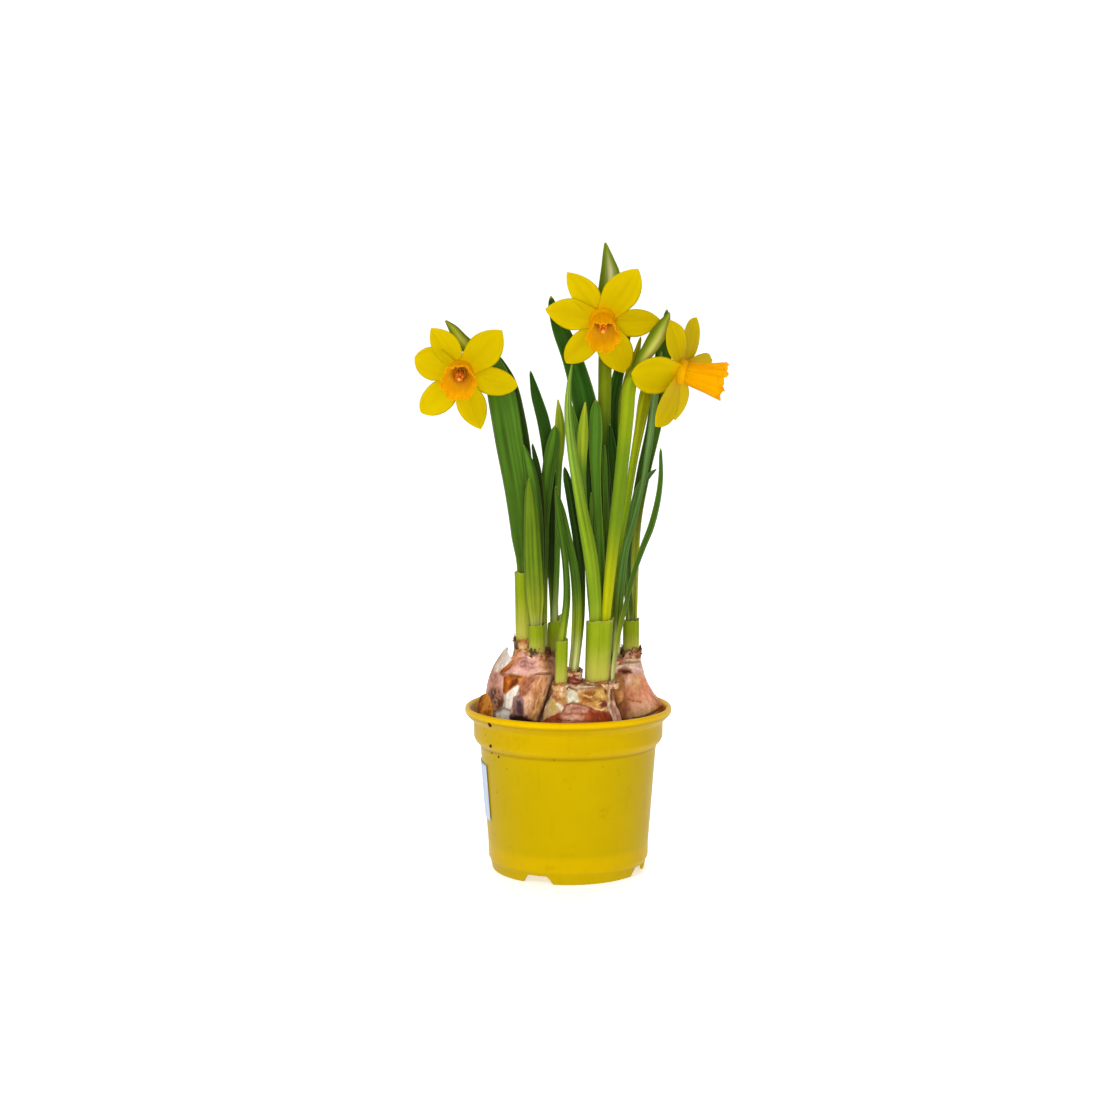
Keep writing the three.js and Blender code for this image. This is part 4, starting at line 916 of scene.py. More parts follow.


# Skins of the bulbs, and a few painted shadows, where the camera sees them, in the frame: [name, outline,
# colour, mottled with, lift]

SKINS = {
    "flap": (
        ("outside", (
            (480, 700), (486, 680), (492, 668), (498, 662), (499, 672), (505, 677), (505, 715),
            (480, 715),
        ), (200, 152, 138), (166, 114, 98), 0.0),
        ("tip", (
            (500, 655), (505, 645), (516, 656), (511, 664), (500, 672), (495, 672), (493, 667),
        ), (220, 206, 198), (192, 172, 160), 0.0),
        ("tip, white", (
            (506, 648), (513, 656), (509, 663), (503, 669), (500, 668), (503, 659),
        ), (238, 234, 236), (212, 204, 206), 0.0),
        ("light strip beside the hole", (
            (498, 675), (503, 676), (504, 690), (499, 685),
        ), (222, 184, 176), (200, 156, 148), 0.0),
        ("veins", (
            (488, 693), (491, 687), (498, 688), (503, 694), (504, 703), (503, 709), (497, 710),
            (492, 705),
        ), (178, 126, 106), (110, 70, 54), 0.0),
        ("orange foot", (
            (480, 699), (488, 700), (493, 705), (497, 710), (493, 716), (480, 716),
        ), (202, 140, 46), (156, 90, 22), 0.0),
    ),
    "left": (
        ("torn skins round the necks", (
            (511, 638), (522, 636), (530, 645), (537, 652), (532, 656), (520, 656), (512, 656),
        ), (206, 156, 92), (104, 58, 30), 0.2),
        ("torn skins round the necks", (
            (537, 646), (547, 648), (557, 652), (558, 661), (545, 658), (537, 655),
        ), (176, 120, 78), (92, 48, 28), 0.2),
        ("fold", (
            (523, 680), (531, 676), (540, 674), (552, 675), (552, 681), (548, 690), (544, 700),
            (539, 712), (536, 721), (523, 720), (523, 707), (523, 697), (519, 693), (521, 685),
        ), (228, 184, 152), (198, 146, 108), 0.3),
        ("fold, brown streak", (
            (520, 685), (525, 679), (531, 676), (538, 677), (535, 682), (530, 690), (525, 697),
            (519, 698), (519, 690),
        ), (172, 108, 78), (126, 66, 44), 0.3),
        ("fold, tan band", (
            (536, 677), (546, 675), (546, 683), (541, 692), (536, 699), (531, 700), (531, 692),
            (535, 684),
        ), (206, 150, 104), (168, 108, 66), 0.3),
        ("fold, light streak", (
            (525, 698), (532, 694), (531, 703), (527, 713), (524, 714), (524, 704),
        ), (236, 196, 166), (214, 164, 130), 0.3),
        ("fold, tan foot", (
            (534, 698), (545, 693), (543, 702), (540, 712), (537, 719), (529, 718), (532, 707),
        ), (208, 162, 104), (160, 104, 56), 0.3),
        ("fold, cream edge", (
            (546, 676), (554, 675), (553, 682), (549, 691), (545, 703), (541, 712), (543, 701),
            (545, 690), (547, 682),
        ), (230, 198, 160), (202, 154, 112), 0.3),
        ("upper skin", (
            (514, 656), (523, 650), (535, 650), (540, 651), (556, 657), (557, 667), (552, 675),
            (543, 672), (535, 674), (527, 676), (521, 675), (512, 674), (504, 675), (496, 676),
            (500, 669), (508, 664), (512, 659),
        ), (212, 164, 154), (178, 122, 108), 0.75),
        ("upper skin, bruised", (
            (520, 662), (528, 659), (536, 661), (536, 667), (530, 670), (524, 669),
        ), (194, 146, 138), (158, 108, 98), 0.75),
        ("upper skin, tan side", (
            (539, 660), (549, 660), (556, 666), (552, 674), (544, 672), (540, 669),
        ), (206, 156, 114), (172, 114, 74), 0.75),
        ("upper skin, lilac foot", (
            (508, 669), (518, 665), (524, 670), (530, 671), (540, 668), (543, 671), (535, 673),
            (527, 675), (520, 674), (512, 673),
        ), (222, 176, 170), (202, 150, 144), 0.75),
        ("hole", (
            (503, 677), (509, 675), (521, 676), (527, 677), (523, 681), (519, 685), (513, 686),
            (509, 690), (504, 694), (500, 689), (500, 680),
        ), (176, 98, 30), (142, 70, 18), -0.5),
        ("hole, bright side", (
            (501, 681), (506, 678), (510, 681), (508, 687), (504, 693), (500, 689),
        ), (192, 114, 40), (160, 86, 24), -0.5),
        # The hole's deep middle: its red-brown skin darkened further as painted shade
        ("hole, deep", (
            (511, 681), (517, 677), (521, 679), (518, 684), (513, 687), (510, 690), (508, 689),
        ), (112, 48, 16), (70, 26, 10), -0.5),
        ("hole, upper right", (
            (518, 677), (526, 677), (522, 681), (519, 683),
        ), (210, 136, 68), (178, 98, 42), -0.5),
        ("flesh", (
            (518, 685), (519, 690), (514, 699), (512, 705), (508, 713), (504, 717), (493, 713),
            (492, 711), (500, 707), (501, 699), (503, 694), (511, 689),
        ), (244, 234, 228), (222, 208, 202), -0.7),
        ("flesh, low", (
            (488, 709), (500, 706), (510, 710), (511, 722), (494, 722), (488, 718),
        ), (216, 214, 208), (186, 178, 168), -0.8),
        ("bruise", (
            (513, 697), (519, 695), (523, 698), (524, 707), (523, 716), (523, 720), (510, 720),
            (509, 716), (513, 712), (512, 705),
        ), (142, 110, 110), (86, 54, 60), 0.05),
        ("bruise, dark", (
            (517, 701), (521, 700), (523, 706), (523, 714), (518, 714), (516, 708),
        ), (88, 56, 64), (60, 34, 42), 0.05),
        # A painted shadow along the bulb's lower edge
        ("painted shadow at the foot", (
            (510, 718), (515, 715), (523, 715), (530, 719), (538, 722), (538, 727), (510, 727),
        ), (50, 24, 20), (24, 10, 10), 0.05),
    ),
    "front": (
        ("cream side", (
            (552, 678), (556, 690), (556, 700), (563, 711), (557, 714), (548, 719), (537, 726),
            (533, 721), (541, 708), (546, 695),
        ), (228, 198, 154), (206, 166, 112), 0.1),
        ("cream side, yellow", (
            (551, 701), (555, 700), (557, 707), (554, 711), (551, 708),
        ), (206, 186, 86), (190, 160, 60), 0.1),
        ("nose skins", (
            (552, 683), (567, 681), (568, 703), (564, 705), (557, 701), (554, 694),
        ), (208, 160, 98), (160, 98, 46), 0.35),
        ("nose skins, cream fold", (
            (558, 693), (567, 690), (567, 696), (560, 698),
        ), (240, 210, 164), (216, 172, 114), 0.35),
        ("nose skins, red", (
            (553, 696), (557, 695), (559, 700), (556, 702),
        ), (162, 84, 46), (120, 50, 26), 0.35),
        ("flesh", (
            (567, 687), (572, 689), (577, 693), (579, 702), (575, 704), (572, 702), (568, 703),
            (567, 697),
        ), (234, 232, 214), (208, 200, 176), -0.4),
        ("curl", (
            (555, 704), (559, 703), (564, 707), (563, 712), (560, 710),
        ), (244, 234, 214), (218, 194, 160), 0.45),
        ("red skin", (
            (566, 669), (571, 671), (584, 678), (583, 684), (576, 687), (566, 682),
        ), (156, 70, 50), (98, 34, 24), 0.6),
        # A hole painted near black: painted shade in the recess
        ("black hole", (
            (577, 668), (585, 668), (585, 677), (580, 678), (577, 676),
        ), (34, 14, 8), (14, 6, 4), -1.2),
        ("pale skin", (
            (574, 688), (583, 684), (594, 686), (593, 691), (585, 693), (578, 693),
        ), (224, 200, 170), (188, 142, 114), 0.5),
        ("pale skin, mauve", (
            (584, 685), (592, 686), (594, 691), (587, 692),
        ), (194, 148, 126), (160, 108, 84), 0.5),
        ("foot of the wide nose", (
            (583, 680), (594, 681), (606, 680), (611, 684), (608, 689), (594, 688), (584, 687),
        ), (180, 124, 68), (140, 84, 34), 0.5),
        ("gold skin", (
            (578, 693), (594, 689), (608, 687), (609, 702), (608, 710), (599, 711), (590, 707),
            (580, 704),
        ), (218, 168, 88), (168, 106, 48), 0.3),
        ("gold skin, light", (
            (596, 690), (604, 689), (606, 697), (599, 700), (595, 696),
        ), (238, 202, 120), (208, 152, 72), 0.3),
        ("gold skin, brown", (
            (584, 693), (592, 691), (593, 697), (589, 701), (583, 700),
        ), (170, 98, 56), (134, 64, 32), 0.3),
        ("gold skin, dark", (
            (598, 702), (604, 700), (608, 704), (607, 708), (600, 708),
        ), (138, 62, 44), (98, 34, 26), 0.3),
        ("lower skin", (
            (563, 712), (567, 705), (572, 703), (582, 705), (591, 708), (601, 711), (609, 711),
            (616, 724), (618, 728), (535, 728), (544, 720), (557, 714),
        ), (184, 92, 50), (136, 54, 22), 0.55),
        ("lower skin, mauve", (
            (566, 705), (577, 704), (590, 708), (588, 713), (572, 713), (563, 713),
        ), (204, 154, 134), (164, 104, 84), 0.55),
        ("lower skin, pale", (
            (561, 715), (572, 714), (584, 716), (582, 721), (564, 722),
        ), (214, 164, 142), (182, 118, 94), 0.55),
        ("lower skin, red", (
            (588, 712), (600, 712), (609, 713), (614, 720), (612, 726), (590, 725),
        ), (164, 66, 22), (116, 36, 10), 0.55),
        ("side in the shade of the right bulb", (
            (610, 682), (622, 676), (632, 700), (632, 714), (622, 711), (614, 700), (610, 700),
        ), (172, 112, 58), (126, 74, 34), 0.0),
        ("strands", (
            (610, 700), (613, 702), (621, 716), (624, 726), (614, 727), (610, 713),
        ), (206, 130, 108), (234, 194, 170), 0.3),
        ("pale bits", (
            (605, 679), (613, 679), (614, 684), (611, 688), (605, 686),
        ), (214, 184, 166), (180, 134, 110), 0.7),
    ),
    "right": (
        ("gold side", (
            (600, 688), (613, 673), (626, 673), (626, 690), (628, 713), (622, 728), (600, 728),
        ), (174, 114, 60), (128, 76, 34), 0.1),
        ("gold side, light", (
            (619, 692), (624, 693), (625, 700), (620, 701),
        ), (230, 176, 118), (198, 136, 80), 0.1),
        ("salmon", (
            (626, 673), (633, 671), (643, 673), (652, 684), (668, 704), (670, 718), (624, 728),
            (627, 713), (625, 691),
        ), (218, 154, 120), (190, 116, 82), 0.1),
        ("salmon, upper", (
            (627, 675), (641, 674), (645, 683), (640, 690), (630, 690),
        ), (216, 168, 128), (196, 138, 98), 0.1),
        ("salmon, light", (
            (625, 675), (631, 674), (632, 681), (628, 685),
        ), (238, 206, 184), (216, 172, 142), 0.1),
        ("pink side", (
            (640, 677), (646, 682), (653, 692), (651, 699), (645, 690),
        ), (228, 148, 122), (206, 114, 88), 0.1),
        ("pale below the fold", (
            (630, 702), (640, 703), (652, 697), (657, 704), (650, 712), (634, 713), (626, 708),
        ), (230, 178, 150), (204, 138, 108), 0.1),
        ("brown foot", (
            (616, 703), (627, 702), (631, 711), (627, 719), (617, 720),
        ), (168, 104, 64), (130, 70, 36), 0.1),
        ("pale foot", (
            (629, 712), (645, 710), (657, 705), (656, 713), (640, 718), (629, 719),
        ), (218, 180, 132), (190, 140, 90), 0.1),
        ("orange end", (
            (653, 696), (660, 699), (670, 708), (662, 718), (656, 708),
        ), (198, 118, 38), (150, 78, 14), 0.1),
        ("neck", (
            (612, 657), (624, 648), (643, 648), (643, 664), (643, 673), (633, 673), (612, 669),
        ), (208, 178, 154), (172, 132, 106), 0.1),
        ("neck, light", (
            (625, 655), (636, 655), (638, 663), (631, 667), (625, 663),
        ), (226, 208, 178), (202, 174, 140), 0.1),
        ("neck, lilac foot", (
            (630, 667), (640, 665), (643, 673), (634, 673),
        ), (218, 180, 180), (192, 146, 142), 0.1),
        ("crack", (
            (618, 669), (625, 668), (631, 670), (633, 673), (626, 674), (617, 673),
        ), (128, 62, 26), (86, 36, 14), -0.6),
        ("ragged ring", (
            (621, 645), (631, 643), (642, 645), (642, 653), (633, 655), (623, 652),
        ), (146, 86, 46), (92, 46, 22), 0.3),
    ),
}

# Creases, torn edges and streaks, and some painted shadows and highlights, in the frame: [line, colour,
# half width]

CREASES = {
    "flap": (
        (((503, 649), (499, 656), (494, 665), (490, 673), (487, 683)), (150, 116, 104), 0.8),
        (((505, 650), (503, 656), (499, 664), (497, 671)), (232, 220, 206), 0.8),
        (((489, 677), (488, 686), (487, 694)), (222, 176, 162), 0.9),
        (((495, 675), (496, 683), (495, 688)), (150, 98, 86), 0.7),
        (((491, 674), (492, 681)), (158, 104, 92), 0.8),
        (((487, 702), (489, 708)), (120, 66, 18), 0.8),
    ),
    "left": (
        # Painted shadow under the upper skin's torn edge
        ((
            (502, 676), (507, 675), (512, 675), (518, 676), (524, 678), (530, 677), (539, 674),
            (550, 674),
        ), (70, 30, 14), 0.8),
        # Painted highlight on that edge's lit lip
        ((
            (503, 674), (508, 673), (513, 673), (519, 674), (524, 675), (530, 674), (539, 672),
            (549, 671),
        ), (236, 200, 184), 0.6),
        (((517, 658), (513, 663), (509, 667), (505, 670), (501, 673), (498, 675)), (228, 146, 70), 2.3),
        (((514, 665), (509, 669), (504, 672)), (150, 78, 36), 0.8),
        (((515, 646), (518, 652), (517, 656)), (176, 96, 40), 1.0),
        (((533, 649), (536, 653)), (50, 26, 14), 1.4),
        (((521, 643), (526, 646), (530, 651)), (86, 46, 24), 1.0),
        (((524, 640), (522, 648), (526, 653)), (236, 208, 152), 1.0),
        (((541, 650), (548, 652), (556, 656)), (70, 34, 20), 1.1),
        (((504, 694), (508, 690), (513, 687), (518, 684)), (204, 128, 66), 0.9),
        (((519, 688), (517, 694), (513, 699), (512, 706), (509, 714)), (138, 102, 98), 0.8),
        (((494, 711), (502, 708), (509, 711)), (118, 92, 80), 0.8),
        (((539, 689), (535, 693), (535, 701), (538, 703)), (166, 104, 68), 0.7),
        (((543, 679), (540, 685), (542, 693)), (176, 116, 76), 0.7),
        (((523, 713), (528, 718), (537, 722)), (64, 30, 18), 1.1),
        (((526, 690), (530, 686), (534, 682)), (230, 176, 146), 0.6),
        (((529, 700), (528, 708), (530, 716)), (184, 118, 82), 0.7),
        (((538, 696), (536, 705), (534, 714)), (232, 192, 140), 0.7),
        (((541, 678), (538, 684)), (232, 188, 156), 0.8),
        (((533, 680), (530, 684), (527, 690)), (116, 60, 38), 0.7),
        (((547, 677), (547, 685), (544, 695)), (160, 104, 60), 0.7),
        (((524, 653), (535, 655), (543, 656), (554, 659)), (150, 96, 68), 0.9),
        (((541, 659), (547, 661), (553, 662)), (80, 38, 24), 1.0),
        (((521, 663), (526, 662), (533, 664)), (134, 82, 78), 0.8),
        (((522, 667), (529, 666), (534, 668)), (134, 82, 78), 0.8),
        (((537, 653), (545, 657)), (106, 58, 34), 0.9),
        (((542, 667), (550, 668)), (158, 98, 58), 0.7),
        (((517, 659), (524, 656), (533, 658)), (232, 198, 186), 0.7),
        (((511, 668), (517, 663), (519, 660)), (190, 138, 128), 0.7),
        # Painted shade in the gap between the left and front bulbs
        (((554, 677), (551, 685), (547, 697), (543, 709), (539, 723)), (24, 10, 6), 2.3),
    ),
    "front": (
        ((
            (609, 686), (609, 694), (609, 701), (608, 708), (611, 715), (615, 723),
        ), (250, 230, 196), 0.9),
        # Painted shadow beside the cream edge
        (((611, 688), (611, 698), (611, 706), (613, 712)), (74, 36, 16), 0.9),
        (((563, 712), (567, 705), (572, 703), (582, 705), (591, 708), (600, 711)), (112, 54, 36), 0.8),
        (((590, 706), (595, 709), (601, 710), (606, 708), (608, 704)), (246, 222, 180), 0.7),
        (((553, 717), (562, 716), (574, 713), (586, 714)), (120, 56, 38), 0.8),
        (((569, 710), (578, 708), (586, 710)), (132, 76, 60), 0.7),
        (((572, 706), (580, 706)), (222, 180, 160), 0.8),
        (((544, 721), (560, 720), (580, 721), (600, 720)), (96, 36, 20), 0.8),
        (((567, 684), (572, 686), (577, 689)), (236, 212, 176), 0.8),
        (((567, 686), (572, 688), (577, 691)), (128, 84, 40), 0.8),
        (((569, 673), (573, 678), (579, 682)), (92, 32, 24), 0.8),
        (((568, 679), (575, 682), (582, 682)), (196, 120, 100), 0.7),
        (((576, 677), (580, 679), (584, 677)), (240, 220, 200), 0.7),
        (((555, 688), (558, 694), (562, 700)), (166, 98, 52), 0.8),
        (((561, 686), (563, 691), (566, 693)), (180, 120, 60), 0.9),
        (((560, 698), (563, 703), (566, 704)), (150, 78, 40), 0.9),
        (((564, 705), (565, 708), (563, 711)), (160, 70, 50), 0.9),
        (((551, 692), (552, 700), (549, 709)), (240, 218, 184), 0.9),
        (((546, 704), (545, 712), (541, 719)), (240, 218, 184), 0.9),
        (((582, 695), (591, 698), (597, 694)), (240, 204, 124), 0.8),
        (((583, 702), (592, 701), (600, 699)), (132, 72, 34), 0.8),
        (((594, 691), (593, 696), (596, 700)), (140, 80, 36), 0.8),
        (((587, 704), (594, 705), (601, 703)), (232, 186, 120), 0.8),
        (((605, 691), (606, 693)), (56, 26, 10), 1.3),
        (((573, 701), (575, 703)), (146, 122, 80), 1.3),
        (((584, 683), (591, 685), (599, 684), (608, 685)), (120, 66, 34), 0.8),
        (((578, 687), (584, 688), (594, 687)), (244, 226, 204), 0.7),
        (((612, 703), (615, 712), (619, 722)), (150, 66, 52), 0.6),
        (((613, 702), (617, 711), (621, 720)), (240, 206, 186), 0.6),
    ),
    "right": (
        (((616, 668), (624, 665), (632, 667), (641, 670)), (232, 206, 208), 0.8),
        (((619, 671), (625, 671), (631, 672)), (66, 24, 10), 0.8),
        (((624, 661), (631, 662), (639, 661)), (182, 146, 116), 0.7),
        (((627, 656), (630, 660), (628, 665)), (182, 146, 116), 0.7),
        (((626, 675), (625, 685), (624, 694)), (164, 104, 64), 1.1),
        # Painted shade where the right bulb meets the front bulb
        (((613, 680), (612, 688), (614, 697), (617, 707)), (110, 62, 24), 1.3),
        (((624, 699), (630, 700), (634, 701)), (150, 84, 48), 0.8),
        (((628, 699), (630, 701)), (116, 58, 28), 1.0),
        (((637, 701), (641, 702)), (160, 88, 54), 1.3),
        (((620, 706), (624, 712), (625, 717)), (140, 74, 36), 1.0),
        # Painted shadow along the bulb's foot, above the pot's lip
        (((616, 721), (630, 720), (646, 716), (658, 710), (666, 704)), (44, 20, 8), 1.2),
    ),
}


def nearness(places, line, width):
    """1 on a line, falling away past its half width."""
    line = np.asarray(line, float)
    nearest = np.full(len(places), 1e9)
    for a, b in zip(line, line[1:]):
        t = np.clip(((places - a) @ (b - a)) / ((b - a) @ (b - a)), 0, 1)
        nearest = np.minimum(nearest, np.linalg.norm(places - a - t[:, None] * (b - a), axis=1))
    return np.exp(-((nearest / width) ** 2))


# How soft the edges of the skins are; a skin with the lift of the one before it melts into that one
SKIN_SOFTNESS = {"flap": 0.9, "left": 0.8, "front": 0.8, "right": 1.6}


def ragged(p):
    """Where points fall in the frame, shifted a little so that outlines come out ragged."""
    return seen_at(p) + 0.8 * np.column_stack([fractal(p / 1.5, 2, 31), fractal(p / 1.5, 2, 32)])


def skinned(name, p, tint, lift, front, fibres):
    """Lays the named skins and creases over points p where the camera sees them."""
    places = ragged(p)
    grain = smooth(-0.4, 0.5, 0.8 * fibres + 0.8 * fractal(p / 2.4, 3, 4))
    broken = smooth(-0.3, 0.3, fractal(p / 3, 2, 61))
    last = None
    for _, outline, colour, second, stand in SKINS[name]:
        melts = 2.2 if stand == last else 1
        last = stand
        share = inside(places, outline, SKIN_SOFTNESS[name] * melts) * front
        tint = blend(tint, painted(colour, (second, 0.9 * grain)), share)
        lift = lift * (1 - share) + stand * share
    for line, colour, width in CREASES[name]:
        whole = 1 if width > 1.1 else 0.4 + 0.6 * broken
        share = nearness(places, line, width) * front * whole
        tint = painted(tint, (colour, 0.9 * share))
        lift = lift - 0.25 * share * (1 if sum(colour) < 450 else -1)
    return tint, lift


def weathered_with_painted_glints(tint, p, fibres, depth, gain=1.0):
    """Blotches and specks that go redder where they go darker, and pale spots painted in as highlights.
    """
    blotch = depth * (0.75 * fractal(p / 1.7, 3, 71) + 0.5 * fibres)
    tint = tint * gain * (1.24, 1.18, 1.06) * (1 + np.outer(blotch, (0.3, 0.42, 0.5)))
    speckle = smooth(0.35, 0.6, fractal(p / 0.9, 2, 14))
    tint = blend(tint, 0.45 * tint, 0.45 * depth * speckle)
    # Painted highlights: pale spots standing in for glints on the glossy skin
    light = smooth(0.25, 0.6, fractal(p / 1.3, 2, 24))
    return np.clip(blend(tint, 1.35 * tint + 0.03, 0.6 * light), 0.003, 0.95)


# The neck's swelling below a nose's base: [rise, how far it stands out from the nose]
NECK = ((-27, 0.5), (-15, 3.2), (-10, 2.6), (-6, 1.3), (-2.5, 0.6), (0.6, 0.5))


def bulb_form(spec):
    """The bulb's body and the swellings at its necks in one skin, with its normals."""
    a = circle(24)
    whole = lathe_rows(spec, 40, 64)
    for k, nose in enumerate(NOSES[n] for n in spec["noses"]):
        torn = 0.7 * np.sin(3 * a + k) * np.cos(5 * a + 2 * k)
        rings = []
        for rise, out in NECK:
            level = nose["base"] + rise + (torn if rise > 0 else 0)
            rings.append(oval_ring(a, nose["x"], nose["y"], nose["rx"] + out, nose["ry"] + out, level))
        whole = whole + Body(np.vstack(rings), ring_faces(len(NECK), len(a)), (0, 0, 0))
    return fused(whole)


# How deep each bulb's weathering is, and how light it comes out
WEATHER = {"left": (1, 0.97), "front": (1, 0.8), "right": (0.75, 0.97)}


def bulb(name):
    """A bulb in its torn tunic, with the dry collars and scraps round its necks."""
    spec = BULBS[name]
    rng = np.random.default_rng(sum(map(ord, name)))
    body, normals = bulb_form(spec)
    p = body.points
    if name == "front":
        far = np.clip(p[:, 0] - spec["foot"][0] - 9, 0, None)
        p[:, 0] -= 0.3 * far * smooth(74, 84, p[:, 2])
    if name == "right":
        far = np.clip(p[:, 0] - spec["foot"][0] - 6, 0, None)
        p[:, 0] += 0.22 * far * (1 - smooth(76, 86, p[:, 2]))
    angle = np.arctan2(p[:, 1] - spec["head"][1], p[:, 0] - spec["head"][0])
    z = p[:, 2]
    around = np.column_stack([np.cos(angle), np.sin(angle)])
    fibres = 0.6 * fractal(np.column_stack([around * 16, z / 7]), 3, 8)
    fibres += 0.4 * noise(np.column_stack([around * 42, z / 9]), 3)
    wrinkle = fractal(np.column_stack([around * 7, z / 16]), 3, 5)
    mottle = fractal(p / 2.4, 3, 4)

    # Where the camera doesn't see: brown outer skins torn off over pink and white ones
    outer = fractal(p / 13 + 7, 3, 51) + 0.15 * mottle
    bare = fractal(p / 10, 3, 77) - 0.1 * mottle
    front = smooth(-0.25, 0.0, normals @ unit(CAMERA_PLACE - p.mean(0)))
    tint = painted(
        (208, 158, 130),
        ((176, 110, 80), smooth(-0.1, 0.5, wrinkle)),
        ((176, 118, 66), smooth(0.06, 0.12, outer)),
        ((92, 50, 28), 0.7 * np.exp(-(((outer - 0.08) / 0.035) ** 2))),
        ((226, 212, 198), smooth(0.3, 0.34, bare) * (z < 90)),
        ((206, 156, 126), front),
    )
    lift = 0.45 * smooth(0.05, 0.13, outer) - 0.5 * smooth(0.3, 0.36, bare) * (z < 90)
    tint, lift = skinned(name, p, tint, lift * (1 - front), front, fibres)
    lift += 0.28 * wrinkle + 0.16 * mottle + 0.1 * fibres
    body.points = p + normals * lift[:, None]
    body.tint = weathered_with_painted_glints(tint, p, fibres, *WEATHER[name])
    body.flat = np.column_stack([angle * 14, z])

    whole = len(p)
    for k, nose in enumerate(NOSES[n] for n in spec["noses"]):
        body = body + neck_scraps(name, nose, rng)
        for out, tall in ((0.75, 1.0), (1.25, 0.62)):
            body = body + torn_collar(name, nose, out, tall, 3 * k + 10 * out)
    loose = body.points[whole:]
    grain = smooth(-0.3, 0.4, fractal(loose / 1.2, 2, 9))
    for outline, colour, second in SCRAP_SKINS.get(name, ()):
        share = 0.85 * inside(ragged(loose), outline, 1.2)
        body.tint[whole:] = blend(body.tint[whole:], painted(colour, (second, grain)), share)
    show(body, f"bulb_{name}", "bulb_tunic")


# Browns of the dry scraps round the necks
SCRAP_BROWNS = {
    "left": ((188, 128, 66), (134, 76, 40), (74, 42, 24), (220, 186, 130), (196, 132, 104)),
    "front": ((204, 150, 84), (160, 98, 52), (120, 66, 34), (236, 210, 170), (206, 150, 120)),
    "right": ((164, 98, 54), (122, 66, 34), (80, 42, 22), (214, 180, 140), (190, 124, 96)),
}
# Scraps that the camera sees, in the frame: [outline, colour, mottled with]
SCRAP_SKINS = {
    "left": (
        ([(518, 644), (526, 643), (529, 649), (526, 655), (518, 654)], (232, 196, 124), (196, 142, 70)),
        ([(519, 636), (527, 636), (528, 643), (519, 643)], (196, 104, 44), (142, 70, 32)),
        ([(512, 642), (518, 643), (519, 652), (514, 657)], (66, 48, 36), (32, 22, 18)),
        ([(528, 646), (534, 647), (538, 654), (531, 657)], (74, 66, 34), (30, 28, 16)),
        ([(541, 647), (548, 649), (557, 655), (557, 664), (548, 658), (541, 653)], (130, 76, 40),
         (62, 34, 20)),
    ),
}
COLLAR_WALL = 0.22
SCRAP_HEIGHTS = {"left": 3.4, "front": 1.7, "right": 3.2}


def torn_collar(name, nose, out, tall, seed):
    """A ring of dry skin, torn along its top, round the foot of a nose."""
    sides, rows = 110, 9
    a = circle(sides)
    round_a = ring(a, 4, seed)
    jags = 0.3 + 0.95 * smooth(-0.5, 0.6, fractal(round_a, 3, 5)) + 0.12 * noise(4 * round_a, 6)
    height = SCRAP_HEIGHTS[name] * tall * jags
    lean = 0.5 * smooth(-0.2, 0.6, fractal(round_a, 2, 9))
    stacks = []
    for inset in (0, COLLAR_WALL):
        for t in np.linspace(0, 1, rows):
            grow = out - inset + lean * t**2 + 0.16 * np.sin(11 * a + seed) * t - 0.25 * (1 - t)
            level = nose["base"] - 2.4 + (2.4 + height) * t
            stacks.append(oval_ring(a, nose["x"], nose["y"], nose["rx"] + grow, nose["ry"] + grow, level))
    points = np.vstack(stacks)
    t = np.tile(np.repeat(np.linspace(0, 1, rows), sides), 2)
    shades = SCRAP_BROWNS[name]
    tint = painted(
        shades[3],
        (shades[0], smooth(-0.3, 0.2, fractal(points / 2.2, 3, int(seed)))),
        (shades[1], smooth(0.0, 0.4, fractal(points / 2.8, 3, int(seed) + 20))),
        (shades[4], smooth(0.1, 0.4, fractal(points / 2, 2, int(seed) + 40))),
        (shades[2], 0.8 * smooth(0.75, 1.0, t + 0.2 * fractal(points / 1.1, 2, 6))),
    )
    return Body(points, shell_faces(rows, sides), tint)


def neck_scraps(name, nose, rng):
    """Dry torn skins standing round the foot of a nose."""
    scraps = Body(np.zeros((0, 3)), [], np.zeros((0, 3)))
    count = 11 if nose["rx"] > 2.5 else 6
    shades = SCRAP_BROWNS[name]
    for k in range(count):
        a = 2 * math.pi * (k + rng.uniform(-0.4, 0.4)) / count
        out = np.array([math.cos(a), math.sin(a), 0])
        foot = np.array([nose["x"], nose["y"], nose["base"] - 2.2])
        foot = foot + out * squarish(a) * [nose["rx"] + 0.9, nose["ry"] + 0.9, 0]
        tall = SCRAP_HEIGHTS[name] * rng.uniform(0.7, 1.5)
        lean = rng.uniform(-0.05, 0.5)
        width = rng.uniform(0.5, 1.3)
        side = np.array([-out[1], out[0], 0]) * rng.uniform(-1.2, 1.2)
        middle = foot + out * lean * tall * 0.25 + [0, 0, tall * 0.6] + 0.3 * side
        tip = foot + out * lean * tall + [0, 0, tall * rng.uniform(0.75, 1)] + side
        rows = [[*foot, width], [*middle, width * 0.8], [*tip, 0.25]]
        azimuth = math.degrees(a) + 180 + rng.uniform(-30, 30)
        scrap, t, _ = blade(rows, azimuth, rng.uniform(-0.4, 0.5), 9, 7, 0.25, 0.5, k + nose["x"], 0.5)
        first, second = rng.choice(len(shades), 2, p=[0.3, 0.26, 0.16, 0.14, 0.14])
        scrap.tint = painted(shades[first], (shades[second], t))
        scrap.tint *= (1 + 0.4 * fractal(scrap.points / 0.8, 2, k))[:, None]
        scraps = scraps + scrap
    return scraps


# The skin standing off the left bulb: its left edge and near edge by height, and its torn top by azimuth

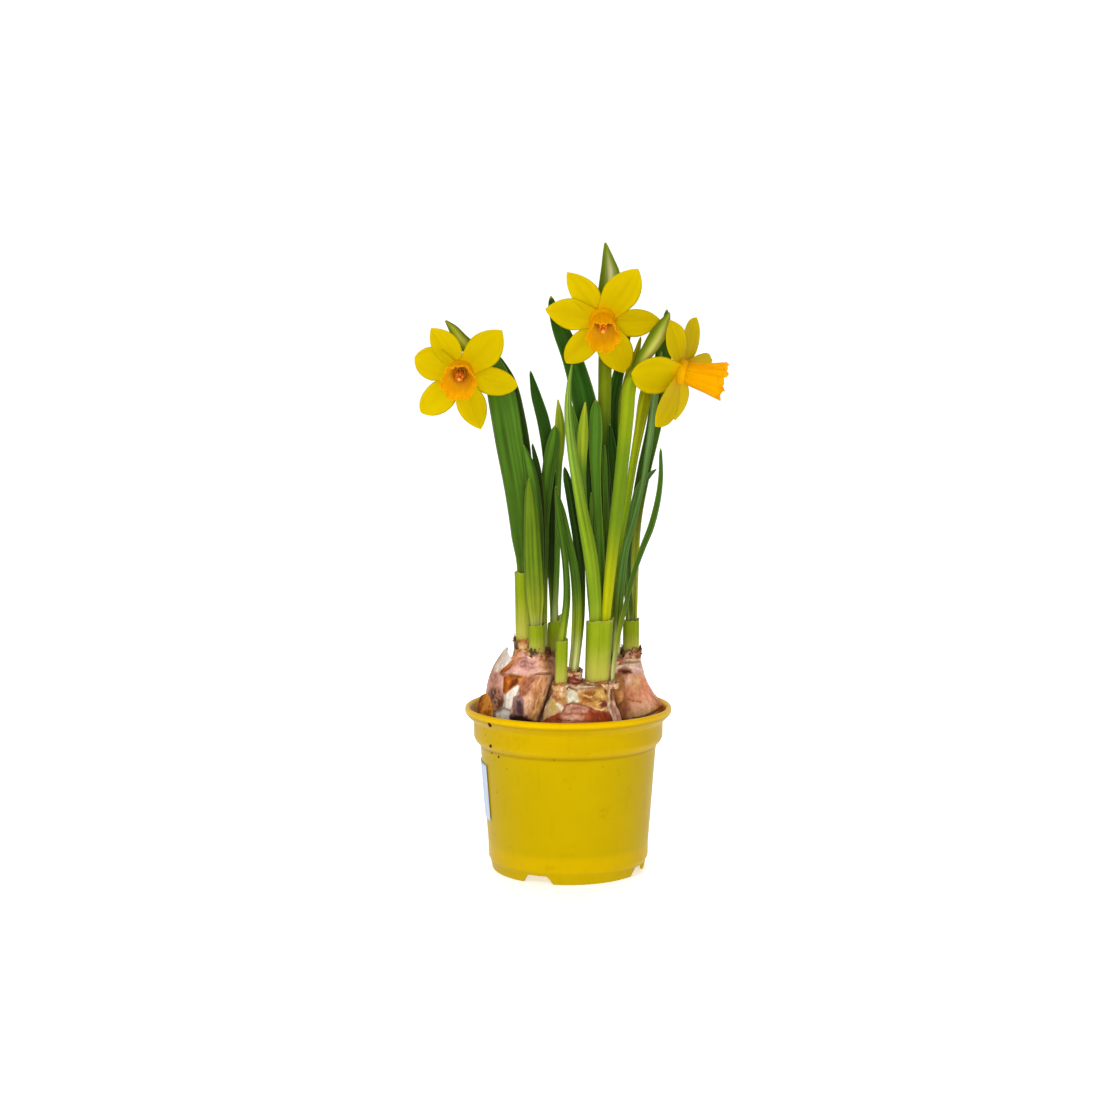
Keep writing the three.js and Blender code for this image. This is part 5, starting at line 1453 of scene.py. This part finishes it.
FLAP_WALL = 0.4
FLAP_FOOT = 68
FLAP_START = 98
FLAP_END = 240
FLAP_LEFT = (
    (68, -39), (72, -39.9), (79, -40.4), (82.4, -40.3), (90, -39.3), (95, -37.9), (99.5, -36),
    (103.4, -33.6), (106.8, -31.2), (108.4, -29.8),
)
FLAP_NEAR = (
    (68, 215), (78.8, 216), (80.4, 231), (82, 238), (85, 239), (90, 235), (94, 231), (96.2, 229.8),
    (97, 222), (97.6, 218), (99, 218.7), (101.3, 225), (105.4, 235), (108, 236),
)
FLAP_TOP = (
    (98, 86), (120, 93), (140, 97), (160, 101.5), (172, 104.5), (182, 107), (190, 108.7), (194, 109),
    (204, 108), (216, 106.8), (228, 105.6), (240, 104.6),
)

# The scrap inside the pot's left edge: [x, y, z, half width]
PEEL = (
    (-38.4, -13.4, 70, 4.2), (-39.2, -12.6, 75, 5.2), (-39.6, -11.8, 80, 5.0), (-39.6, -11, 84.4, 3.2),
    (-39, -10.6, 87, 1.0),
)

# The darkly veined patch low on the flap, in the frame
FLAP_VEINS = ((490, 690), (494, 688), (499, 690), (503, 697), (503, 707), (497, 709), (491, 703))


def flap():
    """The outer skin that stands off the left bulb, curled round so that its white inside shows."""
    spec = BULBS["left"]
    columns, rows = 90, 64
    azimuths = np.linspace(FLAP_END, FLAP_START, columns)
    tops = np.interp(azimuths, *zip(*FLAP_TOP)) + 0.5 * fractal(np.outer(azimuths / 4, [1, 0, 0]), 3, 3)
    sheets = []
    for inset in (0, FLAP_WALL):
        for v in np.linspace(0, 1, rows):
            z = FLAP_FOOT + (tops - FLAP_FOOT) * v
            x, y = bulb_axis(spec, z)
            span = (np.interp(z, *zip(*FLAP_NEAR)) - FLAP_START) / (FLAP_END - FLAP_START)
            sway = 0.8 * fractal(np.outer(z / 3, [1, 0, 0]), 2, 8) * smooth(225, 240, azimuths)
            turn = np.radians(FLAP_START + span * (azimuths - FLAP_START) + sway)
            reach = x - np.interp(z, *zip(*FLAP_LEFT)) - inset
            reach += 0.35 * fractal(np.column_stack([turn * 5, z / 12, z * 0]), 3, 21)
            sheets.append(np.column_stack([x + reach * np.cos(turn), y + reach * np.sin(turn), z]))
    points = np.vstack(sheets)
    outside = np.repeat([True, False], rows * columns)
    away = points[:, :2] - spec["head"]
    angle = np.arctan2(away[:, 1], away[:, 0])
    fibres = fractal(ring(angle, 16, points[:, 2] / 7), 3, 8)
    near = smooth(-1, -5, points[:, 1]) * outside
    tint = painted((186, 138, 116), ((146, 94, 70), smooth(-0.2, 0.5, fibres)))
    tint, _ = skinned("flap", points, tint, 0, near, fibres)
    veined = inside(seen_at(points), FLAP_VEINS, 2.5) * smooth(-0.1, 0.12, fractal(points / 1.1, 2, 44))
    tint = painted(tint, ((60, 32, 24), 0.85 * veined * near))
    white = painted((246, 232, 218), ((222, 198, 178), smooth(-0.1, 0.6, fibres)))
    tint = weathered_with_painted_glints(blend(tint, white, ~outside), points, fibres, 0.7)
    body = Body(points, sheet_faces(rows, columns), tint)
    body.flat = np.column_stack([angle * 14, points[:, 2]])
    show(body, "bulb_left", "bulb_tunic", "dry_skin", "flap")


def peel():
    """A curled scrap of orange skin lying inside the pot's left edge."""
    body, _, s = blade(PEEL, 235, 0.22, 44, 17, 0.5, 0.7, 4, 2.0)
    p = body.points
    tint = painted(
        (208, 142, 50),
        ((158, 84, 22), smooth(-0.1, 0.5, fractal(p / 2, 3, 9))),
        # Painted shade: the curled scrap's one side dark
        ((70, 34, 14), 0.8 * smooth(-0.35, -0.9, s + 0.3 * fractal(p / 3, 2, 19))),
        ((232, 188, 110), 0.6 * smooth(0.8, 1, np.abs(s))),
    )
    body.tint = weathered_with_painted_glints(tint, p, 0, 0.7)
    show(body, "bulb_left", "bulb_tunic", "dry_skin", "peel")


# Compost

COMPOST_WALL = (
    (36.2, 6.6), (37.3, 11), (41, 59.3), (41.35, 62.2), (43.4, 64.6), (44.2, 66.9), (44.3, 70.4),
)
COMPOST_LEVEL = 71.8
CRUMB_BROWNS = ((64, 40, 22), (36, 22, 12), (92, 60, 34), (48, 28, 14), (120, 84, 50))


def compost():
    """The fill with its rough top, crumbs lying on it, and crumbs heaped against the rim."""
    rng = np.random.default_rng(12)
    a = circle(160)
    rings = [ring(a, r, z) for r, z in COMPOST_WALL]
    for r in np.linspace(43, 0.8, 44):
        flat = ring(a, r, 0)
        bump = 1.1 * fractal(flat / 6, 4, 2) + 0.5 * fractal(flat / 1.6, 2, 7)
        rings.append(ring(a, r, COMPOST_LEVEL + bump))
    points = np.vstack(rings)
    tint = painted((58, 36, 20), ((30, 18, 10), smooth(-0.3, 0.4, fractal(points / 2, 3, 5))))
    body = Body(points, ring_faces(len(rings), len(a)), tint)
    over, left, right = 1500, 520, 160
    heaped = left + right
    radius = 43.2 * np.sqrt(rng.uniform(0.02, 1, over))
    turn = rng.uniform(0, 2 * math.pi, over)
    sizes = rng.gamma(2.2, 0.28, over) + 0.25
    height = rng.uniform(-0.3, 0.9, over)
    turns = np.radians(np.concatenate([rng.uniform(150, 222, left), rng.uniform(-35, 8, right)]))
    turn = np.concatenate([turn, turns])
    radius = np.concatenate([radius, rng.uniform(37.5, 44.6, heaped)])
    sizes = np.concatenate([sizes, rng.gamma(2.2, 0.26, heaped) + 0.2])
    height = np.concatenate([height, 3.4 * rng.uniform(0, 1, heaped) ** 0.7])
    height[-right:] -= 1.2
    centres = ring(turn, radius, COMPOST_LEVEL + height)
    shades = np.array([rgb(*c) for c in CRUMB_BROWNS])
    tints = shades[rng.choice(len(shades), len(turn), p=[0.35, 0.3, 0.15, 0.15, 0.05])]
    show(body + crumbs(centres, sizes, tints, rng, 0.8), "compost", "compost")


# Sheaths

SHEATH_WALL = 0.35


def sheath(name, nose):
    """The pale sleeve round a shoot."""
    rows, sides = 40, 56
    a = circle(sides)
    edge = nose["tilt"] * (np.cos(a) + 0.4 * np.sin(2 * a)) + 0.25 * np.sin(7 * a + nose["x"])
    stacks = []
    for inset in (0, SHEATH_WALL):
        for t in np.linspace(0, 1, rows):
            level = nose["base"] - 1 + (nose["rim"] - nose["base"] + 1) * t + edge * t**6
            x, y = nose["x"] + nose["lean"][0] * t, nose["y"] + nose["lean"][1] * t
            grow = 0.12 * np.sin(6 * a + nose["x"]) + 0.06 * np.sin(15 * a + 2 * t)
            grow += 0.1 * smooth(0.95, 1, t) - inset
            rx, ry = nose["rx"] + nose["flare"] * t + grow, nose["ry"] + grow
            stacks.append(oval_ring(a, x, y, rx, ry, level))
    points = np.vstack(stacks)
    turn, z = np.tile(a, 2 * rows), points[:, 2]
    rise = (z - nose["base"]) / (nose["rim"] - nose["base"])
    vein = fractal(ring(turn, 7, z / 40), 3, 3)
    tint = painted(
        (206, 200, 84),
        ((160, 178, 26), smooth(0.05, 0.75, rise)),
        ((122, 150, 20), 0.5 * smooth(-0.1, 0.5, vein) * smooth(0, 0.6, rise)),
        ((206, 210, 122), 0.5 * smooth(0.98, 0.995, rise)),
        ((206, 212, 110), 0.8 * np.repeat([0, 1], rows * sides)),
        ((176, 134, 60), 0.6 * smooth(0.12, 0.02, rise)),
    )
    body = Body(points, shell_faces(rows, sides), tint)
    body.flat = np.column_stack([turn * 4, z])
    show(body, f"sheath_{name}", "sheath")


# Leaves. Greens from the base up: [base, middle, top]

GREENS = {
    "fresh": ((158, 168, 40), (106, 136, 24), (94, 132, 34)),
    "light": ((160, 168, 46), (126, 154, 26), (122, 156, 54)),
    "mid": ((140, 154, 30), (64, 100, 20), (70, 112, 28)),
    # deep: a dark green that is partly painted shade, given to leaves further back in the clump
    "deep": ((112, 132, 20), (20, 52, 6), (30, 76, 12)),
    "olive": ((116, 136, 16), (114, 140, 14), (140, 142, 0)),
    # Pale grey-greens up the leaf, painted as a sheen
    "painted_sheen": ((84, 106, 12), (82, 120, 50), (106, 140, 78)),
    "late": ((158, 164, 48), (44, 76, 14), (60, 98, 24)),
}
# The green of each bulb's leaves, by their numbers
LEAF_GREENS = {
    "left": ("mid", "deep", "fresh", "mid", "deep", "mid", "deep"),
    "front": ("mid", "mid", "deep", "mid", "light", "mid", "deep", "mid", "mid"),
    "right": ("mid", "deep", "deep", "olive", "olive", "painted_sheen", "late", "painted_sheen"),
}


def green(points, t, s, family, seed, foot):
    """A leaf's colour: pale at the nose, then its own green, with paler edges and a yellowish point."""
    base, middle, top = GREENS[family]
    z = points[:, 2]
    late = 2.1 if family == "late" else 1
    tint = painted(
        (206, 208, 128),
        (base, smooth(foot + 2, foot + 22, z)),
        (middle, smooth(foot + 14 * late, foot + 44 * late, z)),
        (top, smooth(foot + 70, foot + 125, z)),
    )
    stripe = fractal(np.column_stack([s * 3.4, t * 1.5, np.full(len(t), seed)]), 3, 40)
    tint = tint * (1 + 0.6 * smooth(0.05, 0.5, stripe) - 0.5 * smooth(0.05, 0.5, -stripe))[:, None]
    tint = painted(
        tint,
        ((170, 184, 70), 0.4 * smooth(0.88, 1.0, np.abs(s))),
        ((196, 180, 50), 0.65 * smooth(0.988, 1.0, t)),
    )
    return 0.9 * tint * (1 + 0.08 * fractal(points / 7, 3, int(seed)))[:, None]


def leaf(name, spec, seed):
    """A leaf a little wider near its foot than the part's, under the sheath."""
    foot = spec["points"][0][2]
    points = []
    for x, y, z, width in spec["points"]:
        points.append([x, y, z, width * (1 + 0.16 * math.exp(-(((z - foot) / 45) ** 2)))])
    body, t, s = blade(points, spec["azimuth"], spec.get("curl", 0.22), 72, 15, 0.85, 0.3, seed)
    _, bulb_name, number = name.split("_")
    body.tint = green(body.points, t, s, LEAF_GREENS[bulb_name][int(number) - 1], seed, foot)
    show(body, name, "leaf")


def bud(name, points, seed):
    """A closed bud on its stem, with green lines down the bud."""
    body, _, a = stem(points, 90, 22, 0.06, seed)
    z = body.points[:, 2]
    foot, head = points[0][2], points[-1][2]
    lines = smooth(0.1, 0.6, np.sin(6 * a + seed)) * smooth(head - 34, head - 26, z)
    body.tint = painted(
        (196, 204, 120),
        ((84, 122, 30), smooth(foot, foot + 40, z)),
        ((146, 164, 32), smooth(head - 34, head - 22, z)),
        ((178, 176, 40), smooth(head - 8, head, z)),
        ((70, 104, 24), 0.4 * lines),
    )
    show(body, name, "bud")


# Flowers

def flower_axes(flower):
    """The flower's own axes: right, up and out of the trumpet."""
    yaw, pitch = math.radians(flower["yaw"]), math.radians(flower["pitch"])
    out = np.array([math.sin(yaw) * math.cos(pitch), -math.cos(yaw) * math.cos(pitch), math.sin(pitch)])
    right = unit([-out[1], out[0], 0])
    return np.array([right, np.cross(out, right), out])


def in_flower(flower, points):
    """Points from the flower's own frame in the part's."""
    return np.asarray(points, float) @ flower_axes(flower) + flower["centre"]


TEPAL_HALF_WIDTH = 8.3
TEPAL_ROOT = 3.4
TEPAL_THICKNESS = 0.62
INNER_LIFT = 0.7

# Each tepal: [its tip, 0.5 round and 1 pointed, the widths of its anticlockwise and clockwise sides]
TEPAL_SHAPES = {
    "left": (
        (0.92, 0.94, 1.0), (0.95, 0.66, 1.0), (0.66, 0.88, 1.0),
        (0.7, 1.0, 0.8), (0.95, 0.86, 0.86), (0.72, 0.82, 0.84),
    ),
    "middle": (
        (0.9, 1.08, 0.96), (0.92, 0.7, 1.0), (1.0, 1.0, 1.1),
        (0.74, 1.0, 0.8), (0.88, 1.0, 0.97), (1.0, 0.82, 1.05),
    ),
    "right": (
        (0.7, 1.0, 1.05), (0.9, 0.82, 0.82), (0.85, 1.0, 1.0),
        (0.66, 0.75, 1.0), (0.9, 0.85, 0.85), (0.85, 1.0, 1.0),
    ),
}


def tepal_width(t, sharpness):
    """A tepal's half width along it, as a share of the widest."""
    root = 0.5 + 0.5 * smooth(-0.15, 0.5, t)
    u = np.clip((t - 0.42) / 0.58, 0, 1)
    return root * (1 - u ** (3.3 - sharpness)) ** sharpness


def turned(v, axis, angle):
    """v turned about the axis."""
    lying, c = axis * (axis @ v), math.cos(angle)
    return v * c + np.cross(axis, v) * math.sin(angle) + lying * (1 - c)


def tepal(row, lift, shape, seed):
    """A tepal in its flower's own frame: [angle, length, lean, bend, width, twist], angles in degrees."""
    angle, length, lean, bend, width, twist = row
    sharpness, left_share, right_share = shape
    count = 40
    places = 1 - (1 - np.linspace(0, 1, count)) ** 1.7
    away = np.array([math.cos(math.radians(angle)), math.sin(math.radians(angle)), 0])
    across = np.array([-away[1], away[0], 0])
    centre = away * TEPAL_ROOT + [0, 0, lift]
    s, side = round_trip(19)
    rows, widths, last = [], [], 0
    for t, fraction in zip(places, tepal_width(places, sharpness)):
        slope = math.radians(lean + bend * t + 5 * math.sin(2.4 * t + seed) * t)
        heading = away * math.cos(slope) + np.array([0, 0, math.sin(slope)])
        bent = turned(across, heading, math.radians(twist * math.sqrt(t) + 4 * math.sin(seed * 1.7) * t))
        face = np.cross(heading, bent)
        centre = centre + heading * (length - TEPAL_ROOT) * (t - last)
        last = t
        half = max(TEPAL_HALF_WIDTH * width * fraction, 0.12)
        thick = min(TEPAL_THICKNESS, 1.2 * half) / 2 * (1 - 0.85 * s**2) * side
        cup = 0.09 * half * s**2 + 0.5 * s * np.sin(5.5 * t + 1.3 * seed) * t
        cup += 0.35 * np.cos(3 * s + seed) * t * s**2
        groove = -0.22 * np.exp(-((s * half) / 0.9) ** 2) * smooth(0, 0.15, t) * (1 - smooth(0.8, 1, t))
        sideways = half * s * np.where(s > 0, left_share, right_share)
        rows.append(centre + np.outer(sideways, bent) + np.outer(cup + groove + thick, face))
        widths.append(half)
    t, s_all = np.repeat(places, len(s)), np.tile(s, count)
    vein = noise(np.column_stack([s_all * 7, t * 1.6, np.full(len(t), seed)]), 17)
    tint = painted(
        (243, 196, 0),
        ((223, 201, 0), smooth(0.06, 0.22, t)),
        # Painted light: paler edges and tip
        ((232, 211, 4), 0.5 * smooth(0.7, 1.0, np.abs(s_all)) + 0.3 * smooth(0.8, 1, t)),
        # Painted shade along the middle groove
        ((205, 180, 0), 0.2 * np.exp(-(s_all * 5) ** 2) * (1 - smooth(0.6, 0.95, t))),
        ((206, 170, 2), 0.22 * smooth(0.0, 0.8, vein)),
    )
    body = Body(np.vstack(rows), [face[::-1] for face in ring_faces(count, len(s))], tint)
    body.flat = np.column_stack([np.repeat(widths, len(s)) * s_all, t * length])
    return body


# The tube behind the tepals, the style and an anther on its thread: [radius, height]
TUBE = (
    (0.05, -8.45), (2.1, -8.45), (2.3, -6), (2.6, -4), (3.2, -2.4), (3.9, -1.4), (5.8, -0.6),
    (6.5, 0.2), (6.2, 1.0), (5.75, 2.0), (5.45, 3.0), (5.3, 3.8), (5.15, 3.6), (5.1, 2.0),
    (5.0, 1.0), (4.4, 0.6), (3.4, -0.9), (2.5, -2.4), (0.05, -2.8),
)
STYLE = (
    (0.05, -4.8), (0.7, -4.8), (0.5, 4), (0.45, 11), (0.7, 12), (0.9, 12.8), (0.7, 13.3), (0.05, 13.4),
)
ANTHER = (
    (0.05, -4), (0.3, -3.8), (0.3, 3), (0.5, 4), (0.72, 5.2), (0.76, 7), (0.7, 9), (0.45, 10.2),
    (0.05, 10.5),
)
ANTHER_RING = 1.35


def turned_body(profile, sides, colour):
    """A solid of revolution on the flower's axis."""
    a = circle(sides)
    rings = [ring(a, r, z) for r, z in profile]
    body = Body(np.vstack(rings), ring_faces(len(rings), sides), rgb(*colour))
    body.flat = np.column_stack([np.tile(a * 4, len(rings)), body.points[:, 2]])
    return body


def perianth(name, flower, seed):
    """The tube with its six tepals, every other one a little in front."""
    body = turned_body(TUBE, 60, (222, 180, 2))
    height = body.points[:, 2]
    radius = np.hypot(body.points[:, 0], body.points[:, 1])
    body.tint = painted(
        body.tint,
        ((255, 196, 0), smooth(0.4, 1.8, height)),
        # Painted light: the throat inside the tube paler, against its shade
        ((255, 205, 55), (height < 1.2) & (radius < 5.15) & (height > -2.9)),
        ((150, 160, 30), smooth(-2.5, -4.5, height) * (radius > 2) * (height < -2.5)),
    )
    for k, (row, shape) in enumerate(zip(flower["tepals"], TEPAL_SHAPES[name])):
        body = body + tepal(row, INNER_LIFT if k % 2 == 0 else 0, shape, seed + k)
    body.points = in_flower(flower, body.points)
    show(body, f"perianth_{name}", "tepal")


CORONA_WALL = 0.45
# The trumpet's radius from its foot to its mouth
CORONA_SHAPE = (5.0, 5.5, 6.1, 6.7, 7.3, 8.0, 8.9, 9.6)
# How wide the mouth and how long the trumpet is, as a share of the usual one
CORONA_SHARES = {"left": (0.86, 1.0), "middle": (0.8, 0.93), "right": (0.9, 1.02)}


def corona(name, flower, seed):
    """The trumpet, with a fold, a frilled mouth and fine ribs."""
    rows, sides = 46, 240
    places = np.linspace(0, 1, rows) ** 0.85
    a = circle(sides)
    mouth, long = CORONA_SHARES[name]
    radii = along(CORONA_SHAPE, places) * (1 + (mouth - 1) * places)
    fold = 0.55 * np.sin(6 * a + seed) + 0.3 * np.sin(11 * a + 2 * seed)
    fold += 0.15 * np.sin(17 * a + 3 * seed)
    frill = 0.2 * np.sin(23 * a + 5 * seed + 0.8 * np.sin(5 * a)) + 0.12 * np.sin(37 * a + seed)
    lobes = 0.7 * np.cos(6 * a + seed + 0.6) + 0.4 * np.sin(13 * a + seed) + 0.16 * np.sin(29 * a)
    stacks, colours, flats = [], [], []
    for inner in (0, 1):
        for t, radius in zip(places, radii):
            ribs = 0.08 * np.cos(18 * a + seed) * (1 - t**4)
            throat = inner * 1.7 * (1 - t / 0.4) ** 2 if t < 0.4 else 0
            r = radius - CORONA_WALL * inner - throat + (0.12 + t**2) * fold * 0.8 + frill * t**9 + ribs
            level = CORONA_BASE + t * CORONA_LENGTH * long + lobes * t**5 - 0.9 * t - 0.05 * (1 - inner)
            stacks.append(ring(a, r, level))
            colours.append(painted(
                # The inside painted paler than the outside, as painted light within the trumpet
                (255, 224, 16) if inner else (251, 203, 0),
                ((230, 182, 0), 0.7 * smooth(0.25, 0.0, t)),
                # Painted shade: more orange in the troughs of the folds, inside and out
                ((244, 172, 4), 0.3 * np.clip(fold if inner else -fold, 0, 1)),
                ((250, 188, 6), 0.4 * smooth(0.9, 1, t)),
                # Painted light: paler still deep inside the trumpet, down to its floor
                ((255, 230, 60), 0.8 * inner * smooth(0.75, 0.2, t)),
                ((255, 200, 50), 0.5 * inner * smooth(0.1, 0.0, t)),
            ))
            flats.append(np.column_stack([a * radius, np.full(sides, t * CORONA_LENGTH)]))
    points = in_flower(flower, np.vstack(stacks))
    body = Body(points, shell_faces(rows, sides), np.vstack(colours), np.vstack(flats))
    show(body, f"corona_{name}", "corona")


def stamens(name, flower):
    """The style and the six anthers round it."""
    body = turned_body(STYLE, 24, (255, 206, 90))
    for k in range(6):
        a = math.radians(60 * k + 15)
        anther = turned_body(ANTHER, 14, (250, 170, 50))
        anther.points += [ANTHER_RING * math.cos(a), ANTHER_RING * math.sin(a), 0]
        body = body + anther
    body.points = in_flower(flower, body.points)
    show(body, f"stamens_{name}", "stamen")


# Each scape's greens: [at the middle, at the top]
SCAPE_GREENS = {
    "left": ((52, 86, 14), (60, 98, 16)),
    "middle": ((52, 84, 10), (112, 126, 8)),
    "right": ((104, 132, 18), (136, 154, 12)),
}


def scape(name, flower, seed):
    """The flower's stem, with the pedicel and the ovary behind the bloom."""
    behind = [[*in_flower(flower, [[0, 0, -d]])[0], r] for d, r in PEDICEL_AND_OVARY]
    points = flower["scape"] + behind
    body, t, a = stem(points, 150, 26, 0.05, seed)
    z = body.points[:, 2]
    foot = points[0][2]
    middle, top = SCAPE_GREENS[name]
    body.tint = painted(
        (180, 180, 60),
        ((172, 172, 2), smooth(foot + 4, foot + 30, z)),
        (middle, smooth(foot + 40, foot + 80, z)),
        (top, smooth(foot + 100, foot + 130, z)),
        ((120, 150, 30), smooth(0.955, 0.985, t)),
        ((60, 90, 16), 0.25 * smooth(0.2, 0.9, np.sin(5 * a + seed))),
    )
    show(body, f"scape_{name}", "scape")


# Each spathe's colours: [edges, middle, pale band painted as a sheen]
SPATHE_TONES = {
    "left": ((92, 116, 14), (150, 160, 34), (182, 184, 70)),
    "middle": ((104, 128, 12), (124, 142, 22), (222, 220, 166)),
    "right": ((100, 126, 16), (150, 160, 34), (196, 196, 104)),
}
# Each spathe: [how far its top leans right, its width as a share of the part's, where its painted sheen
# runs]
SPATHE_SHAPES = {"left": (0, 1.0, 0.0), "middle": (0.9, 1.22, 0.1), "right": (0, 1.0, -0.35)}


def spathe(name, flower, seed):
    """The papery sheath behind a bloom, with a pale band along it painted as a sheen."""
    spec = flower["spathe"]
    shift, wide, band = SPATHE_SHAPES[name]
    last = len(spec["points"]) - 1
    points = [[x + shift * k / last, y, z, w * wide] for k, (x, y, z, w) in enumerate(spec["points"])]
    body, t, s = blade(points, spec["azimuth"], spec["curl"], 56, 21, 0.5, 0.3, seed, 0.8)
    edge, middle, pale = SPATHE_TONES[name]
    ribs = noise(np.column_stack([s * 7, t * 2, np.full(len(t), seed)]), 9)
    sheen_band = np.exp(-((s - band) * 2.8) ** 2) * smooth(0.1, 0.4, t) * (1 - smooth(0.65, 0.98, t))
    tint = painted(
        edge,
        (middle, 1 - smooth(0.35, 0.95, np.abs(s - band) + 0.2 * ribs)),
        # The pale band: a painted sheen
        (pale, 0.9 * sheen_band),
        ((150, 130, 40), 0.5 * smooth(0.9, 1, np.abs(s))),
    )
    body.tint = tint * (1 + 0.2 * ribs)[:, None]
    show(body, f"spathe_{name}", "spathe")


# Everything in place

pot()
specks()
label()
compost()
for name in BULBS:
    bulb(name)
flap()
peel()
for name, nose in NOSES.items():
    if "rim" in nose:
        sheath(name, nose)
for k, (name, spec) in enumerate(LEAVES.items()):
    leaf(name, spec, 1.0 + 1.7 * k)
for k, (name, points) in enumerate(BUDS.items()):
    bud(name, points, k)
for k, (name, flower) in enumerate(FLOWERS.items()):
    scape(name, flower, k)
    spathe(name, flower, 3 + k)
    perianth(name, flower, 2 + 7 * k)
    corona(name, flower, 1.0 + 0.9 * k)
    stamens(name, flower)

# Stage, light and camera, in metres

# A floor that bends up into a wall behind, just under the pot's foot
STAGE_HALF_WIDTH = 4.0
STAGE_DROP = 0.0002
FLOOR_FRONT = -3.0
FLOOR_BACK = 1.2
BEND_RADIUS = 0.9
WALL_TOP = 4.0

sweep = [(FLOOR_FRONT, 0.0), (FLOOR_BACK, 0.0)]
for a in np.linspace(0.1, math.pi / 2, 14):
    sweep.append((FLOOR_BACK + BEND_RADIUS * math.sin(a), BEND_RADIUS - BEND_RADIUS * math.cos(a)))
sweep.append((FLOOR_BACK + BEND_RADIUS, WALL_TOP))
stage_points = [(x, y, z - STAGE_DROP) for y, z in sweep for x in (-STAGE_HALF_WIDTH, STAGE_HALF_WIDTH)]
stage_faces = [(2 * i, 2 * i + 1, 2 * i + 3, 2 * i + 2) for i in range(len(sweep) - 1)]
stage_mesh = bpy.data.meshes.new("stage_floor")
stage_mesh.from_pydata(stage_points, [], stage_faces)
stage_mesh.shade_smooth()
paper = bpy.data.materials.new("stage_paper")
paper.use_nodes = True
paper_look = paper.node_tree.nodes["Principled BSDF"].inputs
paper_look["Base Color"].default_value = (0.92, 0.92, 0.92, 1)
paper_look["Roughness"].default_value = 0.9
paper_look["Emission Color"].default_value = (1, 1, 1, 1)
paper_look["Emission Strength"].default_value = 0.5
stage_mesh.materials.append(paper)
stage = bpy.data.objects.new("stage_floor", stage_mesh)
scene = bpy.context.scene
scene.collection.objects.link(stage)

world = bpy.data.worlds.new("studio")
scene.world = world
world.use_nodes = True
sky = world.node_tree.nodes["Background"].inputs
sky["Color"].default_value = (1.0, 1.0, 1.0, 1)
sky["Strength"].default_value = 0.33

# [name, place, what it is aimed at, size, watts]
LAMPS = (
    ("key", (-0.7, -1.3, 1.25), (0, 0, 0.16), 0.5, 10.5),
    ("fill", (0.15, -1.6, 0.25), (0, 0, 0.18), 0.6, 9.5),
    ("back", (0.3, 1.0, 1.2), (0, 0, 0.2), 0.8, 5),
)
for name, place, aim, size, watts in LAMPS:
    light = bpy.data.lights.new(name, "AREA")
    light.size = size
    light.energy = watts
    lamp = bpy.data.objects.new(name, light)
    lamp.location = place
    lamp.rotation_euler = (Vector(aim) - Vector(place)).to_track_quat("-Z", "Y").to_euler()
    scene.collection.objects.link(lamp)

camera_data = bpy.data.cameras.new("camera")
camera_data.sensor_width = 36
camera_data.lens = camera_data.sensor_width * FOCAL_PIXELS / FRAME_PIXELS
camera_data.clip_end = 20
camera = bpy.data.objects.new("camera", camera_data)
camera.location = [c * 0.001 for c in CAMERA_PLACE]
camera.rotation_euler = (math.pi / 2 - CAMERA_DROP, 0, 0)
scene.collection.objects.link(camera)
scene.camera = camera
scene.view_settings.view_transform = "Standard"
